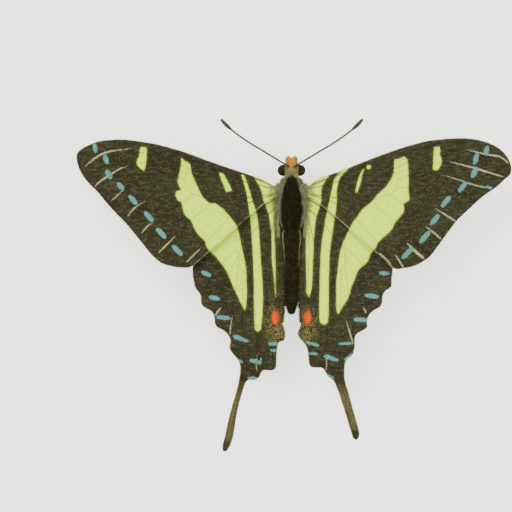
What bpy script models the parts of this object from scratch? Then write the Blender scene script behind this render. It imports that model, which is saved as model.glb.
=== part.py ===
# Swallowtail butterfly of the kite kind, life-size, standing with its wings spread.
#
# Metres, +Z up. The head points along +Y and the right side lies at +X. The origin is on the floor, under
# the middle of the box round the whole insect. The driving sizes below are in millimetres.

import math

import bmesh
import bpy
from mathutils import Matrix, Vector
from mathutils.geometry import delaunay_2d_cdt

for oldThing in list(bpy.data.objects):
    bpy.data.objects.remove(oldThing)

MM = 0.001
MERGE = 0.000001          # metres, welds the caps of a tube
GAP = 0.3                 # clearance kept between touching pieces
DATUM_Y = 1.5             # the plan's zero lies this far ahead of the origin

# Heights of the body above the floor.
BODY_AXIS_Z = 7.0
BODY_SIDES = 24
ABDOMEN_SIDES = 20
HEAD_SIDES = 28
ABDOMEN_AXIS_Z = 6.8
ABDOMEN_DROOP = 1.3       # fall of the abdomen's axis from its root to its tip

# Wings: membrane and veins.
MEMBRANE = 0.5
VEIN_THICKNESS = 0.8
VEIN_FOOT = 0.38          # half the width of a ridge where it leaves the membrane
VEIN_STEP = 2.6
MARGIN_STEP = 1.3
FIELD_STEP = 3.6          # spacing of the points between the veins
VEIN_END = 0.45           # a ridge stops this far inside the margin
FORE_ROOT_Z = 8.8
HIND_ROOT_Z = 7.6
WING_ROOT_X = 3.15
FORE_DIHEDRAL = math.radians(5.0)
HIND_DIHEDRAL = math.radians(4.6)
FORE_CAMBER = 0.55
TIP_DROOP = 0.0016        # millimetres of droop for each square millimetre past the bend
TIP_BEND = 22.0
TAIL_DROOP = 0.085
TAIL_BEND = -12.0

# Plan outlines, from the root along the costa, round the tip and back along the hind margin.
LEFT_FORE_OUTLINE = [
    (-3.15, 17.7), (-5.6, 19.1), (-9.7, 20.5), (-15.3, 22.4), (-20.8, 24.4), (-26.3, 25.9), (-31.8, 26.7),
    (-34.6, 26.7), (-36.8, 26.5), (-38.7, 25.9), (-40.4, 25.0), (-41.3, 24.2), (-41.5, 23.2), (-41.2, 21.7),
    (-40.4, 19.9), (-39.0, 18.1), (-37.4, 16.5), (-34.6, 13.2), (-31.8, 10.3), (-29.6, 7.6), (-26.9, 4.3),
    (-25.2, 2.9), (-23.5, 2.3), (-21.6, 2.0), (-19.4, 2.2), (-16.5, 4.6), (-11.6, 8.9), (-7.4, 12.6),
    (-3.15, 15.9),
]
RIGHT_FORE_OUTLINE = [
    (3.15, 17.7), (4.9, 19.1), (9.6, 20.8), (15.1, 23.0), (20.7, 25.0), (26.2, 26.5), (31.7, 27.0),
    (34.5, 26.9), (37.0, 26.4), (39.2, 25.5), (40.8, 24.3), (41.9, 22.7), (42.3, 21.0), (42.0, 19.8),
    (41.1, 19.1), (39.5, 17.6), (36.7, 15.6), (34.5, 13.6), (31.7, 10.9), (29.2, 7.5), (26.9, 4.4),
    (25.4, 3.2), (23.7, 2.3), (21.8, 1.9), (19.6, 1.9), (16.8, 4.5), (11.8, 8.9), (7.5, 12.6), (3.15, 15.9),
]
LEFT_HIND_OUTLINE = [
    (-3.35, 16.5), (-5.6, 16.7), (-8.6, 15.7), (-12.0, 13.4), (-15.2, 10.2), (-17.6, 6.6), (-18.9, 3.2),
    (-19.2, 1.5), (-19.1, -0.1), (-18.7, -1.8), (-17.7, -3.3), (-17.5, -5.1), (-16.6, -5.9), (-15.5, -6.5),
    (-15.0, -7.6), (-14.9, -8.7), (-14.4, -9.6), (-13.2, -10.2), (-12.1, -11.4), (-11.9, -12.5),
    (-12.1, -13.6), (-11.3, -14.9), (-10.3, -16.0), (-10.0, -17.2), (-10.1, -18.9), (-10.4, -20.6),
    (-10.9, -22.5), (-11.7, -25.3), (-12.4, -28.0), (-13.0, -30.9), (-13.5, -32.8), (-13.3, -33.7),
    (-12.7, -33.8), (-11.9, -32.6), (-11.3, -30.8), (-10.9, -28.3), (-10.4, -25.5), (-9.7, -22.8),
    (-9.1, -20.9), (-8.5, -19.9), (-7.0, -19.8), (-6.2, -19.2), (-5.6, -18.0), (-3.8, -18.0),
    (-3.0, -17.4), (-2.9, -15.6), (-2.7, -13.6), (-2.4, -12.5), (-1.5, -12.2), (-1.2, -11.3), (-1.3, -9.9),
    (-1.9, -8.3), (-1.9, -6.7), (-1.7, -4.0), (-1.75, -1.2), (-1.9, 2.1), (-2.05, 5.4), (-2.3, 8.0),
    (-2.4, 9.3), (-2.75, 10.7), (-3.2, 12.2),
]
RIGHT_HIND_OUTLINE = [
    (3.35, 16.5), (5.6, 16.7), (8.6, 15.7), (12.0, 13.4), (15.4, 10.2), (17.9, 6.6), (19.3, 3.2),
    (19.6, 1.5), (19.4, -0.2), (19.3, -1.7), (18.2, -2.5), (17.7, -3.4), (17.6, -4.7), (17.3, -5.5),
    (15.8, -6.4), (15.0, -7.3), (14.6, -8.4), (14.7, -9.4), (14.0, -10.1), (12.9, -10.7), (12.3, -11.5),
    (12.3, -12.8), (12.1, -14.2), (11.7, -15.1), (10.9, -15.7), (10.4, -16.7), (10.3, -18.8),
    (10.5, -20.3), (11.1, -22.2), (11.8, -24.9), (12.6, -27.6), (13.2, -30.0), (13.1, -31.1),
    (12.6, -31.6), (12.0, -31.2), (11.4, -29.5), (10.6, -26.8), (9.7, -24.0), (9.0, -21.9), (8.1, -19.9),
    (7.1, -19.2), (6.5, -18.2), (5.9, -17.5), (4.0, -17.4), (3.4, -16.7), (3.2, -15.0), (2.8, -13.2),
    (1.8, -12.0), (1.1, -10.8), (1.6, -9.5), (1.95, -7.8), (1.85, -5.6), (1.9, -1.2), (2.0, 2.1),
    (2.1, 5.4), (2.3, 8.0), (2.4, 9.3), (2.75, 10.7), (3.2, 12.2),
]

# Veins of the left wings in plan; the right ones are their mirror.
FORE_VEINS = {
    "subcosta": [(-3.6, 17.3), (-7.5, 19.3), (-13.0, 21.1), (-18.6, 23.2)],
    "radius": [(-3.6, 16.9), (-7.0, 18.2), (-9.7, 18.8), (-14.1, 19.6), (-19.1, 20.8)],
    "cubitus": [(-3.6, 16.5), (-7.5, 15.7), (-11.9, 15.1), (-15.3, 15.2), (-19.0, 16.2)],
    "cell_end": [(-19.1, 20.8), (-20.1, 20.1), (-20.6, 19.0), (-20.2, 17.6), (-19.0, 16.2)],
    "radius_1": [(-9.7, 18.8), (-15.3, 21.2), (-20.8, 23.3), (-24.2, 25.1)],
    "radius_2": [(-14.1, 19.6), (-20.8, 22.5), (-26.3, 25.1), (-28.4, 26.2)],
    "radius_3": [(-19.1, 20.8), (-24.6, 23.6), (-30.2, 25.7), (-35.7, 26.4)],
    "radius_stalk": [(-19.1, 20.8), (-24.6, 22.9), (-28.5, 24.1)],
    "radius_4": [(-28.5, 24.1), (-32.9, 24.8), (-36.0, 23.8), (-38.2, 22.7), (-40.6, 21.2)],
    "radius_5": [(-28.5, 24.1), (-31.8, 23.6), (-34.6, 22.6), (-37.1, 21.0), (-39.5, 19.2)],
    "media_1": [(-20.1, 20.1), (-24.6, 21.7), (-28.0, 22.3), (-30.4, 21.9), (-33.2, 20.9), (-37.7, 17.4)],
    "media_2": [(-20.6, 19.0), (-24.6, 20.4), (-28.2, 19.8), (-31.8, 17.6), (-35.1, 14.5)],
    "media_3": [(-20.2, 17.6), (-25.2, 16.9), (-28.1, 15.1), (-32.2, 11.7)],
    "cubitus_1": [(-19.0, 16.2), (-20.7, 14.8), (-24.1, 12.7), (-26.7, 11.0), (-29.4, 8.2)],
    "cubitus_2": [(-15.3, 15.2), (-16.8, 13.5), (-20.8, 10.1), (-26.1, 4.6)],
    "anal": [(-3.6, 16.1), (-7.5, 14.9), (-12.0, 11.8), (-14.9, 8.8), (-20.8, 2.5)],
}
HIND_VEINS = {
    "subcosta": [(-3.8, 15.2), (-6.6, 13.2), (-10.7, 9.4), (-13.7, 6.6), (-16.9, 3.3), (-19.0, 0.4)],
    "radius": [(-3.8, 14.0), (-6.1, 10.6), (-9.2, 6.8)],
    "sector": [(-9.2, 6.8), (-12.2, 4.3), (-15.3, 0.5), (-17.4, -3.4)],
    "cell_end": [(-9.2, 6.8), (-10.2, 4.9), (-10.3, 3.2), (-9.6, 1.5), (-8.1, 0.5)],
    "cubitus": [(-3.8, 13.4), (-4.1, 8.2), (-5.3, 3.8), (-6.7, 1.9), (-8.1, 0.5)],
    "media_1": [(-10.2, 4.9), (-11.9, 1.0), (-14.1, -4.0), (-14.8, -7.2)],
    "media_2": [(-10.3, 3.2), (-10.9, -2.3), (-11.7, -7.3), (-11.8, -11.4)],
    "media_3": [(-9.6, 1.5), (-9.4, -4.5), (-9.6, -11.1), (-9.3, -17.2), (-10.2, -22.7), (-11.5, -28.3),
                (-12.5, -32.7)],
    "cubitus_1": [(-8.1, 0.5), (-7.2, -5.6), (-6.7, -12.8), (-6.7, -19.1)],
    "cubitus_2": [(-5.3, 3.8), (-4.8, -4.0), (-3.9, -11.1), (-3.6, -17.3)],
    "anal": [(-3.8, 12.8), (-3.4, 6.5), (-3.2, -0.1), (-3.1, -5.6), (-2.2, -10.6)],
}

# Body: half-widths along the axis, each as (y, half-width), and how much flatter than wide each piece is.
PROTHORAX_PROFILE = [(19.55, 1.1), (19.3, 1.7), (19.0, 1.95), (18.7, 1.9), (18.5, 1.6)]
PROTHORAX_FLATTEN = 0.9
THORAX_PROFILE = [
    (18.2, 1.7), (17.9, 2.2), (17.3, 2.65), (16.5, 2.9), (15.4, 3.0), (14.0, 3.0), (12.6, 2.8), (11.2, 2.45),
    (10.3, 2.1), (9.8, 1.7),
]
THORAX_FLATTEN = 0.86
WING_BASE = {"reach": 2.85, "y": 16.8, "z": FORE_ROOT_Z, "length": 2.0, "height": 0.9, "bevel": 0.2}
ABDOMEN_FRONT_Y = 9.5
ABDOMEN_TIP_Y = -7.0
ABDOMEN_SEGMENTS = 8
ABDOMEN_WIDTHS = [(9.5, 1.55), (8.6, 1.95), (7.4, 1.9), (5.4, 1.72), (1.5, 1.6), (-3.2, 1.45), (-4.8, 1.24),
                  (-6.3, 0.86), (-7.0, 0.46)]
ABDOMEN_GROOVE = 0.13
ABDOMEN_FLATTEN = 0.92

HEAD_CENTRE = (0.0, 20.85, 7.05)
HEAD_RADII = (1.45, 1.3, 1.3)
HEAD_BACK_Y = 19.85
EYE_CENTRE = (1.65, 20.9, 7.15)
EYE_RADIUS = 1.13
EYE_INNER_X = 0.8
PALP_CENTRE = (0.6, 22.9, 6.75)
PALP_RADII = (0.42, 0.66, 0.45)
PALP_LIFT = math.radians(22.0)
PROBOSCIS = {"centre": (0.0, 21.5, 4.85), "start": 0.3, "pitch": 0.4, "turns": 1.75, "radius": 0.14}

ANTENNA_PATH = [
    (0.95, 21.85, 8.35), (1.9, 22.4, 8.9), (3.6, 23.4, 9.5), (5.6, 24.6, 10.0), (7.8, 25.9, 10.4),
    (9.9, 27.3, 10.7), (11.6, 28.6, 10.9), (12.9, 29.8, 11.0), (13.7, 30.7, 11.05),
]
ANTENNA_RADIUS = 0.25
CLUB_RADIUS = 0.43
CLUB_LENGTH = 2.8
ANTENNA_END = 0.22

# Legs, as joints of the right one of each pair: root, knee, ankle and toe.
LEGS = {
    "front": {"root": (1.0, 17.0, 4.3), "knee": (4.1, 17.5, 4.9), "ankle": (6.0, 18.1, 0.55),
              "toe": (9.0, 18.9, 0.2)},
    "middle": {"root": (1.2, 14.9, 4.1), "knee": (5.2, 13.6, 5.1), "ankle": (7.3, 12.2, 0.55),
               "toe": (10.6, 11.4, 0.2)},
    "hind": {"root": (1.1, 12.5, 4.4), "knee": (4.3, 8.0, 5.0), "ankle": (6.2, 3.4, 0.55),
             "toe": (8.0, -0.2, 0.2)},
}
LEFT_LEG_SHIFT = {"front": (-0.3, -0.5), "middle": (0.3, 0.5), "hind": (-0.2, 0.6)}
HIP_SHARE = 0.22          # how far out towards the knee the hip lies
HIP_DROP = 0.75
HEEL_SHARE = 0.14         # how far past the ankle the foot comes down on the floor
COXA_RADIUS = 0.52
FEMUR_RADIUS = 0.42
TIBIA_RADIUS = 0.31
TARSUS_RADIUS = 0.28
TARSUS_WAIST = 0.22
TARSUS_SEGMENTS = 5
TARSUS_AXIS_Z = 0.2
CLAW_LENGTH = 0.6
SPUR_LENGTH = 0.9

MATERIALS = {
    "wing": ((0.045, 0.040, 0.018), 0.62, 0.0),
    "thorax": ((0.16, 0.16, 0.09), 0.8, 0.0),
    "abdomen": ((0.05, 0.043, 0.02), 0.7, 0.0),
    "head": ((0.30, 0.16, 0.05), 0.75, 0.0),
    "eye": ((0.018, 0.018, 0.008), 0.18, 0.0),
    "feeler": ((0.035, 0.026, 0.014), 0.5, 0.0),
    "leg": ((0.12, 0.10, 0.045), 0.6, 0.0),
}

partCollection = bpy.data.collections.new("swallowtail_butterfly")
cutterCollection = bpy.data.collections.new("cutters")
bpy.context.scene.collection.children.link(partCollection)
bpy.context.scene.collection.children.link(cutterCollection)


def make_material(name):
    colour, roughness, metallic = MATERIALS[name]
    material = bpy.data.materials.new(name)
    material.use_nodes = True
    shader = material.node_tree.nodes["Principled BSDF"]
    shader.inputs["Base Color"].default_value = (*colour, 1.0)
    shader.inputs["Roughness"].default_value = roughness
    shader.inputs["Metallic"].default_value = metallic
    return material


materials = {name: make_material(name) for name in MATERIALS}


def to_world(point):
    """A plan point in millimetres, with its height, as a place in the part's frame in metres."""
    return Vector((point[0] * MM, (point[1] + DATUM_Y) * MM, point[2] * MM))


def add_object(name, mesh, material, collection=partCollection):
    thing = bpy.data.objects.new(name, mesh)
    collection.objects.link(thing)
    mesh.materials.clear()
    mesh.materials.append(materials[material])
    return thing


def mesh_from(form, name):
    mesh = bpy.data.meshes.new(name)
    form.to_mesh(mesh)
    form.free()
    return mesh


def smooth_line(points, step, closed=False):
    """Points about one step apart along a Catmull-Rom curve through plan points."""
    count = len(points)
    line = []
    spans = count if closed else count - 1
    for index in range(spans):
        if closed:
            around = [Vector(points[(index + offset) % count]) for offset in (-1, 0, 1, 2)]
        else:
            around = [Vector(points[min(max(index + offset, 0), count - 1)]) for offset in (-1, 0, 1, 2)]
        before, start, end, after = around
        pieces = max(1, round((end - start).length / step))
        for piece in range(pieces):
            t = piece / pieces
            line.append(0.5 * (2 * start + (end - before) * t
                               + (2 * before - 5 * start + 4 * end - after) * t ** 2
                               + (3 * start - before - 3 * end + after) * t ** 3))
    if not closed:
        line.append(Vector(points[-1]))
    return line


def line_distance(point, line):
    """Distance in plan from a point to an open line of points."""
    nearest = math.inf
    for start, end in zip(line, line[1:]):
        along = end - start
        t = min(1.0, max(0.0, (point - start).dot(along) / along.length_squared))
        nearest = min(nearest, (point - start - along * t).length)
    return nearest


def is_inside(point, outline):
    inside = False
    for start, end in zip(outline, outline[1:] + outline[:1]):
        if (start.y > point.y) != (end.y > point.y):
            if point.x < (end.x - start.x) * (point.y - start.y) / (end.y - start.y) + start.x:
                inside = not inside
    return inside


def fore_height(x, y):
    span = abs(x) - WING_ROOT_X
    chord = min(1.0, max(0.0, (y - 2.0) / 25.0))
    height = FORE_ROOT_Z + span * math.tan(FORE_DIHEDRAL)
    height += FORE_CAMBER * math.sin(math.pi * chord) * (1.0 - math.exp(-span / 6.0))
    return height - TIP_DROOP * max(0.0, span - TIP_BEND) ** 2


def hind_height(x, y):
    span = abs(x) - WING_ROOT_X
    return HIND_ROOT_Z + span * math.tan(HIND_DIHEDRAL) - TAIL_DROOP * max(0.0, TAIL_BEND - y)


def wing_sheet(outline_points, vein_lines, height):
    """The wing's middle sheet and, for each vertex, whether it lies on a vein."""
    outline = smooth_line(outline_points, MARGIN_STEP)
    rim = outline + outline[:1]
    points = list(outline)
    edges = []

    def keep_line(line, clear, others):
        previous = None
        for point in line:
            fits = is_inside(point, outline) and line_distance(point, rim) > clear
            fits = fits and all(line_distance(point, other) > VEIN_FOOT * 0.95 for other in others)
            if not fits:
                previous = None
                continue
            points.append(point)
            if previous is not None:
                edges.append((previous, len(points) - 1))
            previous = len(points) - 1

    centres = [smooth_line(line, VEIN_STEP) for line in vein_lines]
    for centre in centres:
        keep_line(centre, VEIN_END, [])
    for index, centre in enumerate(centres):
        others = centres[:index] + centres[index + 1:]
        for side in (-1.0, 1.0):
            foot = []
            for number, point in enumerate(centre):
                ahead = centre[min(number + 1, len(centre) - 1)] - centre[max(number - 1, 0)]
                across = Vector((-ahead.y, ahead.x)).normalized()
                foot.append(point + across * side * VEIN_FOOT)
            keep_line(foot, 0.16, others)
    low = Vector((min(p.x for p in outline), min(p.y for p in outline)))
    high = Vector((max(p.x for p in outline), max(p.y for p in outline)))
    for row in range(int((high.y - low.y) / FIELD_STEP) + 1):
        for column in range(int((high.x - low.x) / FIELD_STEP) + 1):
            point = low + Vector((column + 0.5 * (row % 2), row)) * FIELD_STEP
            clear = is_inside(point, outline) and line_distance(point, rim) > 0.9
            if clear and all(line_distance(point, centre) > 1.0 for centre in centres):
                points.append(point)

    face = list(range(len(outline)))
    flat, _, triangles, *_ = delaunay_2d_cdt(points, edges, [face], 1, 0.001)
    sheet = bmesh.new()
    corners = [sheet.verts.new(to_world((p.x, p.y, height(p.x, p.y)))) for p in flat]
    for triangle in triangles:
        sheet.faces.new([corners[corner] for corner in triangle])
    bmesh.ops.recalc_face_normals(sheet, faces=sheet.faces[:])
    on_vein = [min(line_distance(p, centre) for centre in centres) < 0.05 for p in flat]
    inner = [line_distance(p, rim) > VEIN_END * 0.9 for p in flat]
    return sheet, [vein and inside for vein, inside in zip(on_vein, inner)]


def make_wing(name, outline_points, veins, side, height):
    """A membrane with its veins raised on both faces, meshed alike above and below."""
    lines = [[(x * -side, y) for x, y in line] for line in veins.values()]
    sheet, on_vein = wing_sheet(outline_points, lines, height)
    wing = add_object(name, mesh_from(sheet, name), "wing")
    thickness = wing.vertex_groups.new(name="thickness")
    for index, raised in enumerate(on_vein):
        thickness.add([index], 1.0 if raised else MEMBRANE / VEIN_THICKNESS, "REPLACE")
    shell = wing.modifiers.new("Membrane", "SOLIDIFY")
    shell.thickness = VEIN_THICKNESS * MM
    shell.offset = 0.0
    shell.vertex_group = "thickness"
    return wing


def turned_form(profile, flatten, axis_z, segments, droop=0.0):
    """A closed form turned about the body's axis and flattened, its axis falling by droop at the tip."""
    first_y = profile[0][0]
    last_y = profile[-1][0]
    form = bmesh.new()
    stations = [(first_y, 0.0)] + list(profile) + [(last_y, 0.0)]
    line = [form.verts.new((radius, y, 0.0)) for y, radius in stations]
    edges = [form.edges.new(pair) for pair in zip(line, line[1:])]
    bmesh.ops.spin(form, geom=line + edges, cent=(0, 0, 0), axis=(0, 1, 0), angle=math.tau, steps=segments,
                   use_merge=True)
    bmesh.ops.remove_doubles(form, verts=form.verts[:], dist=0.0001)
    bmesh.ops.recalc_face_normals(form, faces=form.faces[:])
    for vertex in form.verts:
        along = (first_y - vertex.co.y) / (first_y - last_y)
        vertex.co = to_world((vertex.co.x, vertex.co.y, vertex.co.z * flatten + axis_z - droop * along ** 2))
    return form


def ball_form(centre, radii, segments, rings, tilt=0.0):
    form = bmesh.new()
    bmesh.ops.create_uvsphere(form, u_segments=segments, v_segments=rings, radius=1.0)
    size = Matrix.Diagonal((radii[0] * MM, radii[1] * MM, radii[2] * MM, 1.0))
    turn = Matrix.Rotation(tilt, 4, "X")
    form.transform(Matrix.Translation(to_world(centre)) @ turn @ size)
    return form


def tube_object(name, path, radii, material, resolution=2):
    """A closed round tube along millimetre points, made from a curve and then welded."""
    curve = bpy.data.curves.new(name, "CURVE")
    curve.dimensions = "3D"
    curve.bevel_depth = MM
    curve.bevel_resolution = resolution
    curve.use_fill_caps = True
    spline = curve.splines.new("POLY")
    spline.points.add(len(path) - 1)
    for station, place, radius in zip(spline.points, path, radii):
        station.co = (*to_world(place), 1.0)
        station.radius = radius
    guide = bpy.data.objects.new(name + "_path", curve)
    bpy.context.scene.collection.objects.link(guide)
    evaluated = guide.evaluated_get(bpy.context.evaluated_depsgraph_get())
    mesh = bpy.data.meshes.new_from_object(evaluated)
    bpy.data.objects.remove(guide)
    form = bmesh.new()
    form.from_mesh(mesh)
    bmesh.ops.remove_doubles(form, verts=form.verts[:], dist=MERGE)
    bmesh.ops.recalc_face_normals(form, faces=form.faces[:])
    return add_object(name, mesh_from(form, name), material)


def cut_flat(form, place, normal):
    """Cuts away what lies on the normal's side of a plane and closes the cut."""
    geometry = form.verts[:] + form.edges[:] + form.faces[:]
    cut = bmesh.ops.bisect_plane(form, geom=geometry, plane_co=place, plane_no=normal, clear_outer=True)
    edges = [item for item in cut["geom_cut"] if isinstance(item, bmesh.types.BMEdge)]
    bmesh.ops.edgenet_fill(form, edges=edges)
    bmesh.ops.recalc_face_normals(form, faces=form.faces[:])


def keep_largest(form):
    """Leaves only the closed surface that fills the largest box."""
    form.verts.index_update()
    seen = set()
    groups = []
    for start in form.verts:
        if start in seen:
            continue
        group = [start]
        seen.add(start)
        for vertex in group:
            for edge in vertex.link_edges:
                other = edge.other_vert(vertex)
                if other not in seen:
                    seen.add(other)
                    group.append(other)
        groups.append(group)

    def extent(group):
        return math.prod(max(v.co[i] for v in group) - min(v.co[i] for v in group) for i in range(3))

    groups.sort(key=extent, reverse=True)
    for group in groups[1:]:
        bmesh.ops.delete(form, geom=group, context="VERTS")


def fuse(name, pieces, material):
    """One closed body from overlapping ones, by a single Boolean union."""
    base = pieces[0]
    group = bpy.data.collections.new(name + "_pieces")
    bpy.context.scene.collection.children.link(group)
    for piece in pieces[1:]:
        partCollection.objects.unlink(piece)
        group.objects.link(piece)
    union = base.modifiers.new("Union", "BOOLEAN")
    union.operand_type = "COLLECTION"
    union.collection = group
    union.operation = "UNION"
    union.solver = "EXACT"
    evaluated = base.evaluated_get(bpy.context.evaluated_depsgraph_get())
    mesh = bpy.data.meshes.new_from_object(evaluated)
    for piece in pieces:
        bpy.data.objects.remove(piece)
    bpy.data.collections.remove(group)
    form = bmesh.new()
    form.from_mesh(mesh)
    keep_largest(form)
    return add_object(name, mesh_from(form, name), material)


def abdomen_width(y):
    for (near_y, near), (far_y, far) in zip(ABDOMEN_WIDTHS, ABDOMEN_WIDTHS[1:]):
        if y >= far_y:
            return far + (near - far) * (y - far_y) / (near_y - far_y)
    return ABDOMEN_WIDTHS[-1][1]


def make_body():
    prothorax = turned_form(PROTHORAX_PROFILE, PROTHORAX_FLATTEN, BODY_AXIS_Z, BODY_SIDES)
    add_object("prothorax", mesh_from(prothorax, "prothorax"), "thorax")

    core = turned_form(THORAX_PROFILE, THORAX_FLATTEN, BODY_AXIS_Z, BODY_SIDES)
    thorax = add_object("thorax_core", mesh_from(core, "thorax_core"), "thorax")
    bases = [make_wing_base(side) for side in (-1.0, 1.0)]
    fuse("thorax", [thorax] + bases, "thorax")

    segment = (ABDOMEN_FRONT_Y - ABDOMEN_TIP_Y) / ABDOMEN_SEGMENTS
    profile = []
    for number in range(ABDOMEN_SEGMENTS):
        front = ABDOMEN_FRONT_Y - number * segment
        for share, sink in ((0.0, ABDOMEN_GROOVE), (0.22, 0.0), (0.72, 0.0)):
            y = front - share * segment
            profile.append((y, abdomen_width(y) - sink))
    profile.append((ABDOMEN_TIP_Y, ABDOMEN_WIDTHS[-1][1] - ABDOMEN_GROOVE))
    abdomen = turned_form(profile, ABDOMEN_FLATTEN, ABDOMEN_AXIS_Z, ABDOMEN_SIDES, ABDOMEN_DROOP)
    add_object("abdomen", mesh_from(abdomen, "abdomen"), "abdomen")


def make_wing_base(side):
    """The raised plate on the thorax that a forewing hinges on, with a flat outer face."""
    inner = 1.2
    form = bmesh.new()
    bmesh.ops.create_cube(form, size=1.0)
    size = Matrix.Diagonal(((WING_BASE["reach"] - inner) * MM, WING_BASE["length"] * MM,
                            WING_BASE["height"] * MM, 1.0))
    middle = to_world((side * (WING_BASE["reach"] + inner) / 2, WING_BASE["y"], WING_BASE["z"]))
    form.transform(Matrix.Translation(middle) @ size)
    bmesh.ops.bevel(form, geom=form.edges[:], offset=WING_BASE["bevel"] * MM, affect="EDGES", segments=1,
                    profile=0.5, material=-1)
    name = "wing_base_left" if side < 0 else "wing_base_right"
    return add_object(name, mesh_from(form, name), "thorax")


def make_head():
    """The head capsule, hollowed on each side for an eye that stands clear of it."""
    form = ball_form(HEAD_CENTRE, HEAD_RADII, HEAD_SIDES, 16)
    cut_flat(form, to_world((0.0, HEAD_BACK_Y, 0.0)), Vector((0.0, -1.0, 0.0)))
    head = add_object("head", mesh_from(form, "head"), "head")
    for side, word in ((-1.0, "left"), (1.0, "right")):
        centre = (side * EYE_CENTRE[0], EYE_CENTRE[1], EYE_CENTRE[2])
        eye = ball_form(centre, (EYE_RADIUS,) * 3, 20, 14)
        cut_flat(eye, to_world((side * EYE_INNER_X, 0.0, 0.0)), Vector((-side, 0.0, 0.0)))
        add_object("eye_" + word, mesh_from(eye, "eye_" + word), "eye")
        hollow = ball_form(centre, (EYE_RADIUS + GAP,) * 3, 20, 14)
        cut_flat(hollow, to_world((side * (EYE_INNER_X - GAP), 0.0, 0.0)), Vector((-side, 0.0, 0.0)))
        cutter = add_object("eye_hollow_" + word, mesh_from(hollow, "eye_hollow_" + word), "head",
                            cutterCollection)
        cutter.hide_render = True
        cutter.display_type = "WIRE"
        cut = head.modifiers.new("Hollow " + word, "BOOLEAN")
        cut.object = cutter
        cut.operation = "DIFFERENCE"
        cut.solver = "EXACT"
        centre = (side * PALP_CENTRE[0], PALP_CENTRE[1], PALP_CENTRE[2])
        palp = ball_form(centre, PALP_RADII, 14, 10, PALP_LIFT)
        add_object("palp_" + word, mesh_from(palp, "palp_" + word), "head")
        make_antenna(side, word)
    make_proboscis()


def make_antenna(side, word):
    """A thin shaft that swells into a club over its last stretch."""
    places = [Vector((side * x, y, z)) for x, y, z in ANTENNA_PATH]
    line = smooth_line(places, 1.1)
    lengths = [0.0]
    for start, end in zip(line, line[1:]):
        lengths.append(lengths[-1] + (end - start).length)
    radii = []
    for length in lengths:
        left = lengths[-1] - length
        share = max(0.0, 1.0 - left / CLUB_LENGTH)
        swell = math.sin(math.pi * share ** 0.8)
        radius = ANTENNA_RADIUS + (CLUB_RADIUS - ANTENNA_RADIUS) * swell
        radii.append(radius if left > 0.01 else ANTENNA_END)
    tube_object("antenna_" + word, [tuple(p) for p in line], radii, "feeler")


def make_proboscis():
    """The coiled tongue, a flat spiral under the head."""
    centre = PROBOSCIS["centre"]
    steps = 26
    path = []
    for step in range(steps + 1):
        turn = PROBOSCIS["turns"] * step / steps
        radius = PROBOSCIS["start"] + PROBOSCIS["pitch"] * turn
        angle = math.radians(100.0) - math.tau * (PROBOSCIS["turns"] - turn)
        path.append((centre[0], centre[1] + radius * math.cos(angle), centre[2] + radius * math.sin(angle)))
    tube_object("proboscis", path, [PROBOSCIS["radius"]] * len(path), "feeler", 1)


def mix(start, end, share):
    return tuple(a + (b - a) * share for a, b in zip(start, end))


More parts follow.
